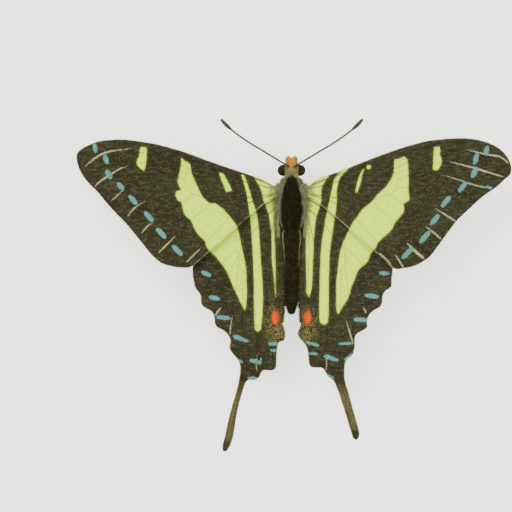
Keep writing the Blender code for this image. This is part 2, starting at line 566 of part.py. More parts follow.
def make_leg(pair, side, word):
    joints = dict(LEGS[pair])
    shift = (0.0, 0.0) if side > 0 else LEFT_LEG_SHIFT[pair]
    name = f"leg_{pair}_{word}"

    def place(joint):
        moved = 0.0 if joint == "root" else 1.0
        x, y, z = joints[joint]
        return (side * (x + shift[0] * moved), y + shift[1] * moved, z)

    root, knee, ankle, toe = (place(joint) for joint in ("root", "knee", "ankle", "toe"))
    hip = (root[0] + (knee[0] - root[0]) * HIP_SHARE, root[1] + (knee[1] - root[1]) * HIP_SHARE,
           root[2] - HIP_DROP)
    pieces = [
        tube_object(name + "_coxa", [root, (root[0], root[1], root[2] - 0.45), hip],
                    [COXA_RADIUS * 0.85, COXA_RADIUS, COXA_RADIUS * 0.8], "leg", 1),
        tube_object(name + "_femur", [hip, mix(hip, knee, 0.35), mix(hip, knee, 0.75), knee],
                    [FEMUR_RADIUS * 0.85, FEMUR_RADIUS, FEMUR_RADIUS * 0.85, FEMUR_RADIUS * 0.72], "leg", 1),
        tube_object(name + "_tibia", [knee, mix(knee, ankle, 0.3), mix(knee, ankle, 0.9), ankle],
                    [TIBIA_RADIUS * 0.95, TIBIA_RADIUS, TIBIA_RADIUS * 0.95, TIBIA_RADIUS * 0.75], "leg", 1),
    ]
    tarsus = [ankle]
    radii = [TARSUS_RADIUS]
    on_floor = mix(ankle, toe, HEEL_SHARE)
    on_floor = (on_floor[0], on_floor[1], TARSUS_AXIS_Z)
    for number in range(TARSUS_SEGMENTS):
        for share, radius in ((0.1, TARSUS_WAIST), (0.75, TARSUS_RADIUS)):
            tarsus.append(mix(on_floor, toe, (number + share) / TARSUS_SEGMENTS))
            radii.append(radius)
    tarsus.append(toe)
    radii.append(TARSUS_WAIST)
    pieces.append(tube_object(name + "_tarsus", tarsus, radii, "leg", 1))
    ahead = (Vector(toe) - Vector(on_floor)).normalized()
    across = Vector((-ahead.y, ahead.x, 0.0))
    for spread in (-1.0, 1.0):
        base = Vector(toe) - ahead * 0.25 + across * 0.08 * spread
        tip = Vector(toe) + ahead * CLAW_LENGTH + across * 0.32 * spread
        middle = base.lerp(tip, 0.6) + Vector((0.0, 0.0, 0.12))
        pieces.append(tube_object(f"{name}_claw{spread:+.0f}", [tuple(base), tuple(middle), tuple(tip)],
                                  [0.14, 0.12, 0.05], "leg", 0))
    spur_root = Vector(mix(knee, ankle, 0.86))
    for spread in (-1.0, 1.0):
        tip = spur_root + (ahead * 0.6 + across * 0.55 * spread - Vector((0.0, 0.0, 0.5))) * SPUR_LENGTH
        pieces.append(tube_object(f"{name}_spur{spread:+.0f}", [tuple(spur_root), tuple(tip)], [0.15, 0.06],
                                  "leg", 0))
    leg = fuse(name, pieces, "leg")
    form = bmesh.new()
    form.from_mesh(leg.data)
    cut_flat(form, Vector((0.0, 0.0, 0.0)), Vector((0.0, 0.0, -1.0)))
    form.to_mesh(leg.data)
    form.free()


make_wing("forewing_left", LEFT_FORE_OUTLINE, FORE_VEINS, -1.0, fore_height)
make_wing("forewing_right", RIGHT_FORE_OUTLINE, FORE_VEINS, 1.0, fore_height)
make_wing("hindwing_left", LEFT_HIND_OUTLINE, HIND_VEINS, -1.0, hind_height)
make_wing("hindwing_right", RIGHT_HIND_OUTLINE, HIND_VEINS, 1.0, hind_height)
make_body()
make_head()
for pairName in LEGS:
    make_leg(pairName, -1.0, "left")
    make_leg(pairName, 1.0, "right")

for part in partCollection.objects:
    if not part.name.startswith(("forewing", "hindwing")):
        part.data.shade_smooth()
        part.data.set_sharp_from_angle(angle=math.radians(40.0))
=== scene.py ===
import math

import bmesh
import bpy
import numpy as np
from mathutils import Matrix, Vector


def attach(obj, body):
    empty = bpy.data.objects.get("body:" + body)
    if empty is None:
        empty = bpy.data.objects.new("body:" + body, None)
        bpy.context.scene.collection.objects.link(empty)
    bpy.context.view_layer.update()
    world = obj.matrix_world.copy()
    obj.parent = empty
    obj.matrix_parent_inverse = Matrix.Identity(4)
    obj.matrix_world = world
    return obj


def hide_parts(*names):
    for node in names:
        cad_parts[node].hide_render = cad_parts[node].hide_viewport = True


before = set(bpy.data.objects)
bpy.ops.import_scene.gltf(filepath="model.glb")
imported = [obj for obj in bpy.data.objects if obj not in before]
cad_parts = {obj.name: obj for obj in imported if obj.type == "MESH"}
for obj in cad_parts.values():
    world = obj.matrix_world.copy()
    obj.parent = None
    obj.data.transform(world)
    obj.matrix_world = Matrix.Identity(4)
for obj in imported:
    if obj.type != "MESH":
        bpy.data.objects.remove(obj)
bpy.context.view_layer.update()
print("frame loaded:", len(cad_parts), "nodes")

# Plan sizes are millimetres: x to the insect's right, y towards its head, heights above the floor.
mm = 0.001
datumY = 1.5      # the plan's zero lies this far ahead of the part's origin

wingRule = {
    "rootX": 3.15,
    "foreRootZ": 8.8,
    "hindRootZ": 7.6,
    "foreDihedral": math.radians(5.0),
    "hindDihedral": math.radians(4.6),
    "foreCamber": 0.55,
    "camberFrom": 2.0,
    "camberChord": 25.0,
    "camberReach": 6.0,
    "tipDroop": 0.0016,
    "tipBend": 22.0,
    "tailDroop": 0.085,
    "tailBend": -12.0,
    "skinHalf": 0.11,
    "sag": 0.09,
    "sagReach": 0.8,
}

# Outlines from the root along the costa, round the tip and back along the hind margin.
outlines = {
    "forewing_left": [
        (-1.3, 17.2), (-3.15, 17.7), (-5.6, 19.1), (-9.7, 20.5), (-15.3, 22.4), (-20.8, 24.4), (-26.3, 25.9),
        (-31.8, 26.7), (-34.6, 26.7), (-36.8, 26.5), (-38.7, 25.9), (-40.4, 25.0), (-41.3, 24.2),
        (-41.5, 23.2), (-41.2, 21.7), (-40.4, 19.9), (-39.0, 18.1), (-37.4, 16.5), (-34.6, 13.2),
        (-31.8, 10.3), (-29.6, 7.6), (-26.9, 4.3), (-25.2, 2.9), (-23.5, 2.3), (-21.6, 2.0), (-19.4, 2.2),
        (-16.5, 4.6), (-11.6, 8.9), (-7.4, 12.6), (-3.15, 15.9), (-1.3, 16.1),
    ],
    "forewing_right": [
        (1.3, 17.2), (3.15, 17.7), (4.9, 19.1), (9.6, 20.8), (15.1, 23.0), (20.7, 25.0), (26.2, 26.5),
        (31.7, 27.0), (34.5, 26.9), (37.0, 26.4), (39.2, 25.5), (40.8, 24.3), (41.9, 22.7), (42.3, 21.0),
        (42.0, 19.8), (41.1, 19.1), (39.5, 17.6), (36.7, 15.6), (34.5, 13.6), (31.7, 10.9), (29.2, 7.5),
        (26.9, 4.4), (25.4, 3.2), (23.7, 2.3), (21.8, 1.9), (19.6, 1.9), (16.8, 4.5), (11.8, 8.9),
        (7.5, 12.6), (3.15, 15.9), (1.3, 16.1),
    ],
    "hindwing_left": [
        (-2.2, 16.2), (-3.35, 16.5), (-5.6, 16.7), (-8.6, 15.7), (-12.0, 13.4), (-15.2, 10.2), (-17.6, 6.6),
        (-18.9, 3.2), (-19.2, 1.5), (-19.1, -0.1), (-18.7, -1.8), (-17.7, -3.3), (-17.5, -5.1),
        (-16.6, -5.9), (-15.5, -6.5),
        (-15.0, -7.6), (-14.9, -8.7), (-14.4, -9.6), (-13.2, -10.2), (-12.1, -11.4), (-11.9, -12.5),
        (-12.1, -13.6), (-11.3, -14.9), (-10.3, -16.0), (-10.0, -17.2), (-10.1, -18.9), (-10.4, -20.6),
        (-10.9, -22.5), (-11.7, -25.3), (-12.4, -28.0), (-13.0, -30.9), (-13.5, -32.8), (-13.3, -33.7),
        (-12.7, -33.8), (-11.9, -32.6), (-11.3, -30.8), (-10.9, -28.3), (-10.4, -25.5), (-9.7, -22.8),
        (-9.1, -20.9), (-8.5, -19.9), (-7.0, -19.8), (-6.2, -19.2), (-5.6, -18.0), (-3.8, -18.0),
        (-3.0, -17.4), (-2.9, -15.6), (-2.7, -13.6), (-2.4, -12.5), (-1.5, -12.2), (-1.2, -11.3),
        (-1.3, -9.9), (-1.9, -8.3), (-1.8, -6.7), (-1.5, -4.0), (-1.55, -1.2), (-1.65, 2.1), (-1.8, 5.4),
        (-2.0, 8.0), (-2.1, 9.3), (-2.4, 10.7), (-2.2, 12.0),
    ],
    "hindwing_right": [
        (2.2, 16.2), (3.35, 16.5), (5.6, 16.7), (8.6, 15.7), (12.0, 13.4), (15.4, 10.2), (17.9, 6.6),
        (19.3, 3.2), (19.6, 1.5), (19.4, -0.2), (19.3, -1.7), (18.2, -2.5), (17.7, -3.4), (17.6, -4.7),
        (17.3, -5.5), (15.8, -6.4),
        (15.0, -7.3), (14.6, -8.4), (14.7, -9.4), (14.0, -10.1), (12.9, -10.7), (12.3, -11.5),
        (12.3, -12.8), (12.1, -14.2), (11.7, -15.1), (10.9, -15.7), (10.4, -16.7), (10.3, -18.8),
        (10.5, -20.3), (11.1, -22.2), (11.8, -24.9), (12.6, -27.6), (13.2, -30.0), (13.1, -31.1),
        (12.6, -31.6), (12.0, -31.2), (11.4, -29.5), (10.6, -26.8), (9.7, -24.0), (9.0, -21.9),
        (8.1, -19.9), (7.1, -19.2), (6.5, -18.2), (5.9, -17.5), (4.0, -17.4), (3.4, -16.7), (3.2, -15.0),
        (2.8, -13.2), (1.8, -12.0), (1.1, -10.8), (1.6, -9.5), (1.95, -7.8), (1.75, -5.6), (1.6, -1.2),
        (1.7, 2.1), (1.82, 5.4), (2.0, 8.0), (2.1, 9.3), (2.4, 10.7), (2.2, 12.0),
    ],
}
costaPoints = 14      # the forewing's outline has this many points up to its tip

# Veins of the left wings; the right ones are their mirror.
foreVeins = {
    "costa": [(-2.0, 17.4), (-5.6, 18.8), (-15.3, 22.1), (-26.3, 25.6), (-33.0, 26.4)],
    "subcosta": [(-2.0, 17.1), (-7.5, 19.3), (-13.0, 21.1), (-18.6, 23.2)],
    "radius": [(-2.0, 16.8), (-7.0, 18.2), (-9.7, 18.8), (-14.1, 19.6), (-19.1, 20.8)],
    "cubitus": [(-2.0, 16.5), (-7.5, 15.7), (-11.9, 15.1), (-15.3, 15.2), (-19.0, 16.2)],
    "cellEnd": [(-19.1, 20.8), (-20.1, 20.1), (-20.6, 19.0), (-20.2, 17.6), (-19.0, 16.2)],
    "radius1": [(-9.7, 18.8), (-15.3, 21.2), (-20.8, 23.3), (-24.2, 25.1)],
    "radius2": [(-14.1, 19.6), (-20.8, 22.5), (-26.3, 25.1), (-28.4, 26.2)],
    "radius3": [(-19.1, 20.8), (-24.6, 23.6), (-30.2, 25.7), (-35.7, 26.4)],
    "radiusStalk": [(-19.1, 20.8), (-24.6, 22.9), (-28.5, 24.1)],
    "radius4": [(-28.5, 24.1), (-32.9, 24.8), (-36.0, 23.8), (-38.2, 22.7), (-40.6, 21.2)],
    "radius5": [(-28.5, 24.1), (-31.8, 23.6), (-34.6, 22.6), (-37.1, 21.0), (-39.5, 19.2)],
    "media1": [(-20.1, 20.1), (-24.6, 21.7), (-28.0, 22.3), (-30.4, 21.9), (-33.2, 20.9), (-37.7, 17.4)],
    "media2": [(-20.6, 19.0), (-24.6, 20.4), (-28.2, 19.8), (-31.8, 17.6), (-35.1, 14.5)],
    "media3": [(-20.2, 17.6), (-25.2, 16.9), (-28.1, 15.1), (-32.2, 11.7)],
    "cubitus1": [(-19.0, 16.2), (-20.7, 14.8), (-24.1, 12.7), (-26.7, 11.0), (-29.4, 8.2)],
    "cubitus2": [(-15.3, 15.2), (-16.8, 13.5), (-20.8, 10.1), (-26.1, 4.6)],
    "anal": [(-2.0, 16.3), (-7.5, 14.9), (-12.0, 11.8), (-14.9, 8.8), (-20.8, 2.5)],
}
hindVeins = {
    "subcosta": [(-2.6, 15.6), (-6.6, 13.2), (-10.7, 9.4), (-13.7, 6.6), (-16.9, 3.3), (-19.0, 0.4)],
    "radius": [(-2.6, 14.2), (-6.1, 10.6), (-9.2, 6.8)],
    "sector": [(-9.2, 6.8), (-12.2, 4.3), (-15.3, 0.5), (-17.4, -3.4)],
    "cellEnd": [(-9.2, 6.8), (-10.2, 4.9), (-10.3, 3.2), (-9.6, 1.5), (-8.1, 0.5)],
    "cubitus": [(-2.8, 13.4), (-4.1, 8.2), (-5.3, 3.8), (-6.7, 1.9), (-8.1, 0.5)],
    "media1": [(-10.2, 4.9), (-11.9, 1.0), (-14.1, -4.0), (-14.8, -7.2)],
    "media2": [(-10.3, 3.2), (-10.9, -2.3), (-11.7, -7.3), (-11.8, -11.4)],
    "media3": [(-9.6, 1.5), (-9.4, -4.5), (-9.6, -11.1), (-9.3, -17.2), (-10.2, -22.7), (-11.5, -28.3),
               (-12.5, -32.7)],
    "cubitus1": [(-8.1, 0.5), (-7.2, -5.6), (-6.7, -12.8), (-6.7, -19.1)],
    "cubitus2": [(-5.3, 3.8), (-4.8, -4.0), (-3.9, -11.1), (-3.6, -17.3)],
    "anal": [(-2.8, 12.8), (-3.4, 6.5), (-3.2, -0.1), (-3.1, -5.6), (-2.2, -10.6)],
}

# The pale bands run on from the forewing to the hindwing, so both wings of a side share them.
paleBands = {
    "left": [
        [(-28.9, 25.3), (-28.0, 25.2), (-27.9, 23.9), (-28.1, 21.7), (-28.4, 20.7), (-29.1, 21.2),
         (-29.8, 22.0), (-29.7, 22.8), (-29.3, 23.4), (-29.2, 24.8)],
        [(-20.8, 22.7), (-21.2, 23.2), (-21.3, 21.4), (-21.8, 19.5), (-21.9, 18.4), (-21.3, 17.0),
         (-22.2, 16.7), (-22.3, 16.0), (-21.9, 15.1), (-21.3, 14.7), (-20.9, 13.2), (-20.5, 12.2),
         (-19.4, 11.2), (-18.8, 9.8), (-18.0, 8.5), (-16.6, 7.1), (-16.5, 6.4), (-15.7, 5.2),
         (-14.7, 4.3), (-12.8, 1.8), (-11.9, -0.1), (-11.1, -2.0), (-10.3, -3.7), (-9.1, -6.1),
         (-8.8, -4.5), (-8.7, -2.3), (-8.8, -0.1), (-8.9, 2.1), (-9.3, 4.3), (-9.7, 6.5), (-10.3, 9.3),
         (-11.1, 10.9), (-12.5, 12.6), (-13.6, 13.7), (-14.7, 14.4), (-15.8, 14.5), (-16.9, 15.4),
         (-17.7, 16.7), (-18.6, 18.7), (-19.3, 20.3), (-19.6, 22.0)],
        [(-9.7, 20.3), (-9.2, 18.5), (-8.7, 16.7), (-8.4, 15.0), (-7.9, 11.2), (-7.5, 5.4), (-7.3, -0.4),
         (-7.3, -5.0), (-7.1, -9.9), (-6.6, -10.4), (-6.0, -9.9), (-5.6, -5.0), (-5.7, -0.4), (-6.1, 5.4),
         (-6.5, 11.2), (-7.5, 14.9), (-8.0, 16.7), (-8.6, 18.5), (-9.2, 20.0)],
        [(-13.9, 20.3), (-13.3, 20.2), (-12.7, 19.5), (-12.2, 18.4), (-11.5, 16.9), (-12.5, 16.6),
         (-13.0, 17.8), (-13.5, 19.0)],
        [(-7.4, 19.9), (-6.7, 18.7), (-6.1, 17.6), (-5.7, 16.7), (-5.5, 15.4), (-4.8, 13.7), (-4.2, 11.5),
         (-3.9, 9.3), (-3.8, 6.5), (-3.8, 3.8), (-3.4, -0.1), (-3.1, -3.6), (-3.1, -0.4), (-3.2, 5.4),
         (-3.4, 11.2), (-3.0, 14.7), (-1.5, 17.0), (-4.5, 18.9)],
    ],
    "right": [
        [(27.4, 25.2), (28.4, 25.3), (28.5, 23.7), (28.8, 22.5), (28.4, 21.4), (27.9, 20.8), (27.2, 20.9),
         (27.2, 22.5), (27.3, 24.2)],
        [(19.8, 22.8), (19.6, 20.3), (19.3, 19.5), (18.5, 18.1), (17.6, 17.1), (16.5, 16.1), (15.1, 14.5),
         (13.5, 13.2), (12.7, 12.0), (11.8, 10.9), (11.2, 9.6), (10.4, 7.9), (9.6, 6.0), (9.2, 3.8),
         (9.0, 1.5), (8.7, -0.7), (8.7, -3.4), (8.7, -5.6), (9.0, -6.9), (9.9, -5.4), (11.0, -3.7),
         (11.5, -1.8), (12.4, 0.4), (12.8, 1.5), (14.3, 2.9), (14.8, 3.5), (15.1, 4.6), (16.0, 5.7),
         (16.5, 6.8), (17.1, 7.5), (18.5, 8.7), (19.3, 9.6), (19.8, 10.7), (20.9, 12.0), (21.6, 13.2),
         (21.5, 14.4), (22.5, 15.1), (22.4, 17.0), (22.4, 20.3), (22.2, 22.8), (21.6, 23.4), (20.7, 23.0)],
        [(10.9, 21.2), (9.3, 19.5), (9.0, 18.8), (8.6, 17.0), (8.6, 14.7), (8.2, 11.2), (7.4, 5.4),
         (7.2, -0.4), (7.2, -6.2), (7.0, -8.6), (6.3, -9.0), (5.6, -8.6), (5.4, -6.2), (5.5, -0.4),
         (5.7, 5.4), (6.5, 11.2), (7.2, 14.7), (7.7, 17.0), (8.1, 18.8), (9.0, 20.2)],
        [(13.9, 21.0), (13.5, 19.8), (13.2, 18.4), (12.5, 16.5), (12.3, 16.7), (12.5, 18.1), (12.9, 19.5),
         (13.5, 20.7)],
        [(7.1, 19.9), (6.5, 18.9), (6.0, 18.1), (5.6, 17.0), (5.6, 14.7), (4.6, 11.2), (4.2, 5.4),
         (4.0, -0.4), (3.7, -2.7), (3.4, -3.6), (2.9, -2.7), (2.9, -0.4), (2.8, 5.4), (2.9, 11.2),
         (3.0, 14.7), (1.5, 17.0), (4.2, 18.8)],
    ],
}
paleSpots = {"right": [(14.8, 21.4, 0.42)]}

# Blue-green marks, each as x, y, length, width and turn in degrees from the x axis.
blueMarks = {
    "forewing_left": [
        (-37.8, 25.1, 1.8, 0.8, -80), (-35.7, 22.9, 1.8, 0.9, -70), (-35.2, 20.0, 1.9, 1.0, -60),
        (-32.9, 17.7, 1.8, 0.9, -50), (-30.5, 15.1, 2.3, 0.9, -50), (-27.5, 11.9, 2.5, 0.95, -49),
        (-25.1, 8.7, 2.6, 0.95, -49), (-22.0, 5.4, 2.7, 0.95, -45),
    ],
    "forewing_right": [
        (37.4, 24.6, 1.9, 0.9, 76), (35.4, 23.1, 2.4, 0.9, 72), (35.1, 20.4, 2.3, 1.0, 62),
        (32.8, 17.6, 2.4, 0.9, 52), (29.6, 14.8, 2.7, 0.9, 50), (27.5, 11.3, 2.5, 0.95, 50),
        (25.6, 8.0, 2.9, 0.95, 50), (22.3, 4.9, 3.0, 0.95, 45), (37.9, 17.5, 1.3, 0.5, -18),
    ],
    "hindwing_left": [
        (-16.5, 0.9, 2.1, 0.8, -26), (-14.9, -3.8, 2.2, 0.85, -12), (-13.2, -7.6, 2.7, 0.85, -6),
        (-9.9, -11.7, 3.2, 0.7, -20), (-10.5, -11.4, 1.4, 0.85, -15), (-7.0, -16.1, 2.4, 0.75, -14),
        (-6.0, -16.1, 1.4, 0.3, 82), (-9.8, -16.1, 1.0, 0.32, -46), (-7.5, -19.4, 2.0, 0.6, 0),
        (-3.6, -12.7, 1.9, 0.65, 0), (-3.6, -14.0, 1.2, 0.5, 0),
    ],
    "hindwing_right": [
        (17.9, 1.0, 2.0, 0.7, -4), (15.5, -3.4, 2.8, 0.85, -6), (13.3, -8.0, 2.6, 0.85, -3),
        (10.6, -12.6, 2.9, 0.5, 2), (7.7, -15.5, 3.1, 0.7, -16), (7.1, -15.2, 1.4, 0.85, -20),
        (4.1, -12.7, 2.6, 0.6, -15), (4.2, -14.6, 1.8, 0.5, -6), (7.4, -19.0, 1.6, 0.5, -24),
    ],
}
# This one follows the bend of the margin.
marginMarks = {"hindwing_right": [(11.0, -15.3, 1.9, 0.4, 45)]}

# Pale lines that follow the veins towards the margin, each with its widest half-width.
paleStreaks = {
    "forewing_left": [
        ([(-39.6, 21.7), (-37.4, 23.4), (-35.7, 24.2), (-34.0, 24.6), (-31.0, 24.9)], 0.16),
        ([(-37.9, 17.6), (-36.8, 18.7), (-35.1, 19.8), (-33.2, 21.0), (-31.3, 21.7)], 0.152),
        ([(-34.6, 15.0), (-33.2, 16.3), (-32.1, 17.3)], 0.104),
        ([(-31.6, 11.9), (-30.4, 13.4), (-28.2, 14.9)], 0.12),
        ([(-28.9, 8.7), (-27.8, 10.0), (-26.7, 10.9)], 0.136),
        ([(-25.6, 5.0), (-24.0, 6.6), (-22.4, 8.2)], 0.136),
        ([(-20.4, 3.0), (-19.2, 4.2), (-17.4, 6.0)], 0.128),
    ],
    "forewing_right": [
        ([(33.4, 24.8), (37.2, 23.9), (40.0, 23.4), (41.7, 22.1)], 0.152),
        ([(30.1, 22.5), (34.5, 21.4), (37.2, 20.6), (40.7, 19.5)], 0.152),
        ([(29.0, 19.9), (31.7, 19.1), (35.0, 18.0), (38.4, 17.3)], 0.096),
        ([(27.7, 13.4), (30.4, 11.7), (31.6, 10.9)], 0.128),
        ([(25.6, 10.1), (27.2, 8.9), (28.8, 7.5)], 0.136),
        ([(22.2, 6.8), (23.8, 5.2), (25.5, 3.8)], 0.24),
        ([(19.9, 4.6), (20.7, 3.4), (21.5, 2.1)], 0.128),
        ([(16.9, 4.9), (18.2, 3.7), (19.2, 2.7)], 0.12),
    ],
    "hindwing_left": [
        ([(-14.8, -7.3), (-14.4, -6.5), (-13.6, -5.6)], 0.176),
        ([(-11.9, -10.8), (-11.8, -9.0), (-11.5, -7.4)], 0.112),
        ([(-6.7, -18.2), (-6.8, -16.6), (-6.7, -14.8)], 0.08),
    ],
    "hindwing_right": [
        ([(10.6, -8.1), (11.2, -10.2), (11.9, -12.5)], 0.12),
        ([(13.9, -5.6), (14.2, -6.2), (14.4, -6.7)], 0.128),
        ([(6.7, -14.4), (6.8, -16.2), (6.7, -17.8)], 0.08),
    ],
}
analSpots = {"left": (-3.2, -7.6), "right": (3.1, -7.6)}    # the orange spots' middles
analSpotSize = (0.78, 1.4)
speckledGround = [(1.6, -9.4), (2.4, -6.2), (3.4, -5.6), (4.9, -7.4), (4.7, -10.4), (3.9, -12.2),
                  (2.4, -12.4), (1.0, -11.0)]
underBar = [(4.4, 9.0), (5.4, 2.0), (5.0, -4.0), (3.6, -8.6)]    # the red bar of the hindwing's underside
underBarHalf = 0.32
markRule = {
    "marginLeast": 0.12,     # a mark along the margin stays this far inside it
    "tailFrom": -20.0,
    "tailFade": 3.0,
    "tailTip": 1.8,
    "besideX": 3.2,          # no pale rim on the margin beside the abdomen
    "besideRear": -9.0,
    "besideRim": 1.0,
}


# Plan geometry, all of it on whole arrays of points.

far = 1000.0      # further than any mark is from any place on a wing


def unitRows(rows):
    return rows / np.maximum(np.linalg.norm(rows, axis=1)[:, None], 1e-9)


def heading(turn):
    return np.array([math.cos(turn), math.sin(turn)])


def quarterTurn(rows):
    return np.column_stack([-rows[:, 1], rows[:, 0]])


def nearestOf(points, gaps):
    nearest = np.full(len(points), far)
    for gap in gaps:
        nearest = np.minimum(nearest, gap)
    return nearest


def smoothLine(points, step, closed=False):
    places = np.array(points, float)
    count = len(places)
    spans = count if closed else count - 1
    line = []
    for index in range(spans):
        around = [index + offset for offset in (-1, 0, 1, 2)]
        around = [a % count for a in around] if closed else [min(max(a, 0), count - 1) for a in around]
        before, start, end, after = places[around]
        pieces = max(1, round(float(np.linalg.norm(end - start)) / step))
        for share in np.arange(pieces) / pieces:
            line.append(0.5 * (2 * start + (end - before) * share
                               + (2 * before - 5 * start + 4 * end - after) * share ** 2
                               + (3 * start - before - 3 * end + after) * share ** 3))
    if not closed:
        line.append(places[-1])
    return np.array(line)


def stretchGap(points, start, end):
    along = end - start
    share = np.clip((points - start) @ along / max(float(along @ along), 1e-9), 0.0, 1.0)
    return np.linalg.norm(points - start - share[:, None] * along, axis=1), share


def lineGap(points, line):
    return nearestOf(points, (stretchGap(points, start, end)[0] for start, end in zip(line[:-1], line[1:])))


def shapeGap(points, corners):
    ring = np.vstack([corners, corners[:1]])
    inside = np.zeros(len(points), bool)
    for start, end in zip(ring[:-1], ring[1:]):
        spans = (start[1] > points[:, 1]) != (end[1] > points[:, 1])
        run = (end[0] - start[0]) * (points[:, 1] - start[1]) / ((end[1] - start[1]) or 1e-9) + start[0]
        inside ^= spans & (points[:, 0] < run)
    gap = lineGap(points, ring)
    return np.where(inside, -gap, gap)


def roundedGap(along, across, length, width, corner):
    along = np.abs(along) - length / 2 + corner
    across = np.abs(across) - width / 2 + corner
    inside = np.minimum(np.maximum(along, across), 0.0)
    return np.hypot(np.maximum(along, 0.0), np.maximum(across, 0.0)) + inside - corner


# A leaf-shaped mark: an oval a little fuller than an ellipse.
def leafGap(points, mark):
    x, y, length, width, turn = mark
    way = heading(math.radians(turn))
    offset = points - np.array([x, y])
    half = np.array([length, width]) / 2
    local = np.abs(np.column_stack([offset @ way, offset @ np.array([-way[1], way[0]])])) / half
    power = 2.4
    reach = np.maximum(np.sum(local ** power, axis=1) ** (1.0 / power), 1e-6)
    slope = np.linalg.norm((local / reach[:, None]) ** (power - 1.0) / half, axis=1)
    return (reach - 1.0) / np.maximum(slope, 1.0 / half[0])


# A line that is widest a third of the way along and runs out to points.
def taperedGap(points, line, halfWidth):
    places = smoothLine(line, 0.5)
    nearest = np.full(len(points), far)
    count = len(places) - 1
    for index in range(count):
        gap, share = stretchGap(points, places[index], places[index + 1])
        along = np.clip((index + share) / count, 0.02, 0.98) ** 0.7
        nearest = np.minimum(nearest, gap - halfWidth * np.sin(np.pi * along) ** 0.8)
    return nearest


# A mark that keeps its distance from the wing's edge, so it bends as the scallops do.
def edgeMarkGap(points, rim, bar, depth):
    x, y, length, width, turn = bar
    way = heading(math.radians(turn))
    offset = points - np.array([x, y])
    gap = roundedGap(offset @ way, rim - depth, length, width, min(0.22, width / 2))
    return np.where(np.linalg.norm(offset, axis=1) < length, gap, far)


def wingHeight(points, isFore):
    rule = wingRule
    span = np.abs(points[:, 0]) - rule["rootX"]
    if not isFore:
        fall = rule["tailDroop"] * np.maximum(0.0, rule["tailBend"] - points[:, 1])
        return rule["hindRootZ"] + span * math.tan(rule["hindDihedral"]) - fall
    chord = np.clip((points[:, 1] - rule["camberFrom"]) / rule["camberChord"], 0.0, 1.0)
    grown = 1.0 - np.exp(-np.maximum(span, 0.0) / rule["camberReach"])
    height = rule["foreRootZ"] + span * math.tan(rule["foreDihedral"])
    height += rule["foreCamber"] * np.sin(np.pi * chord) * grown
    return height - rule["tipDroop"] * np.maximum(0.0, span - rule["tipBend"]) ** 2


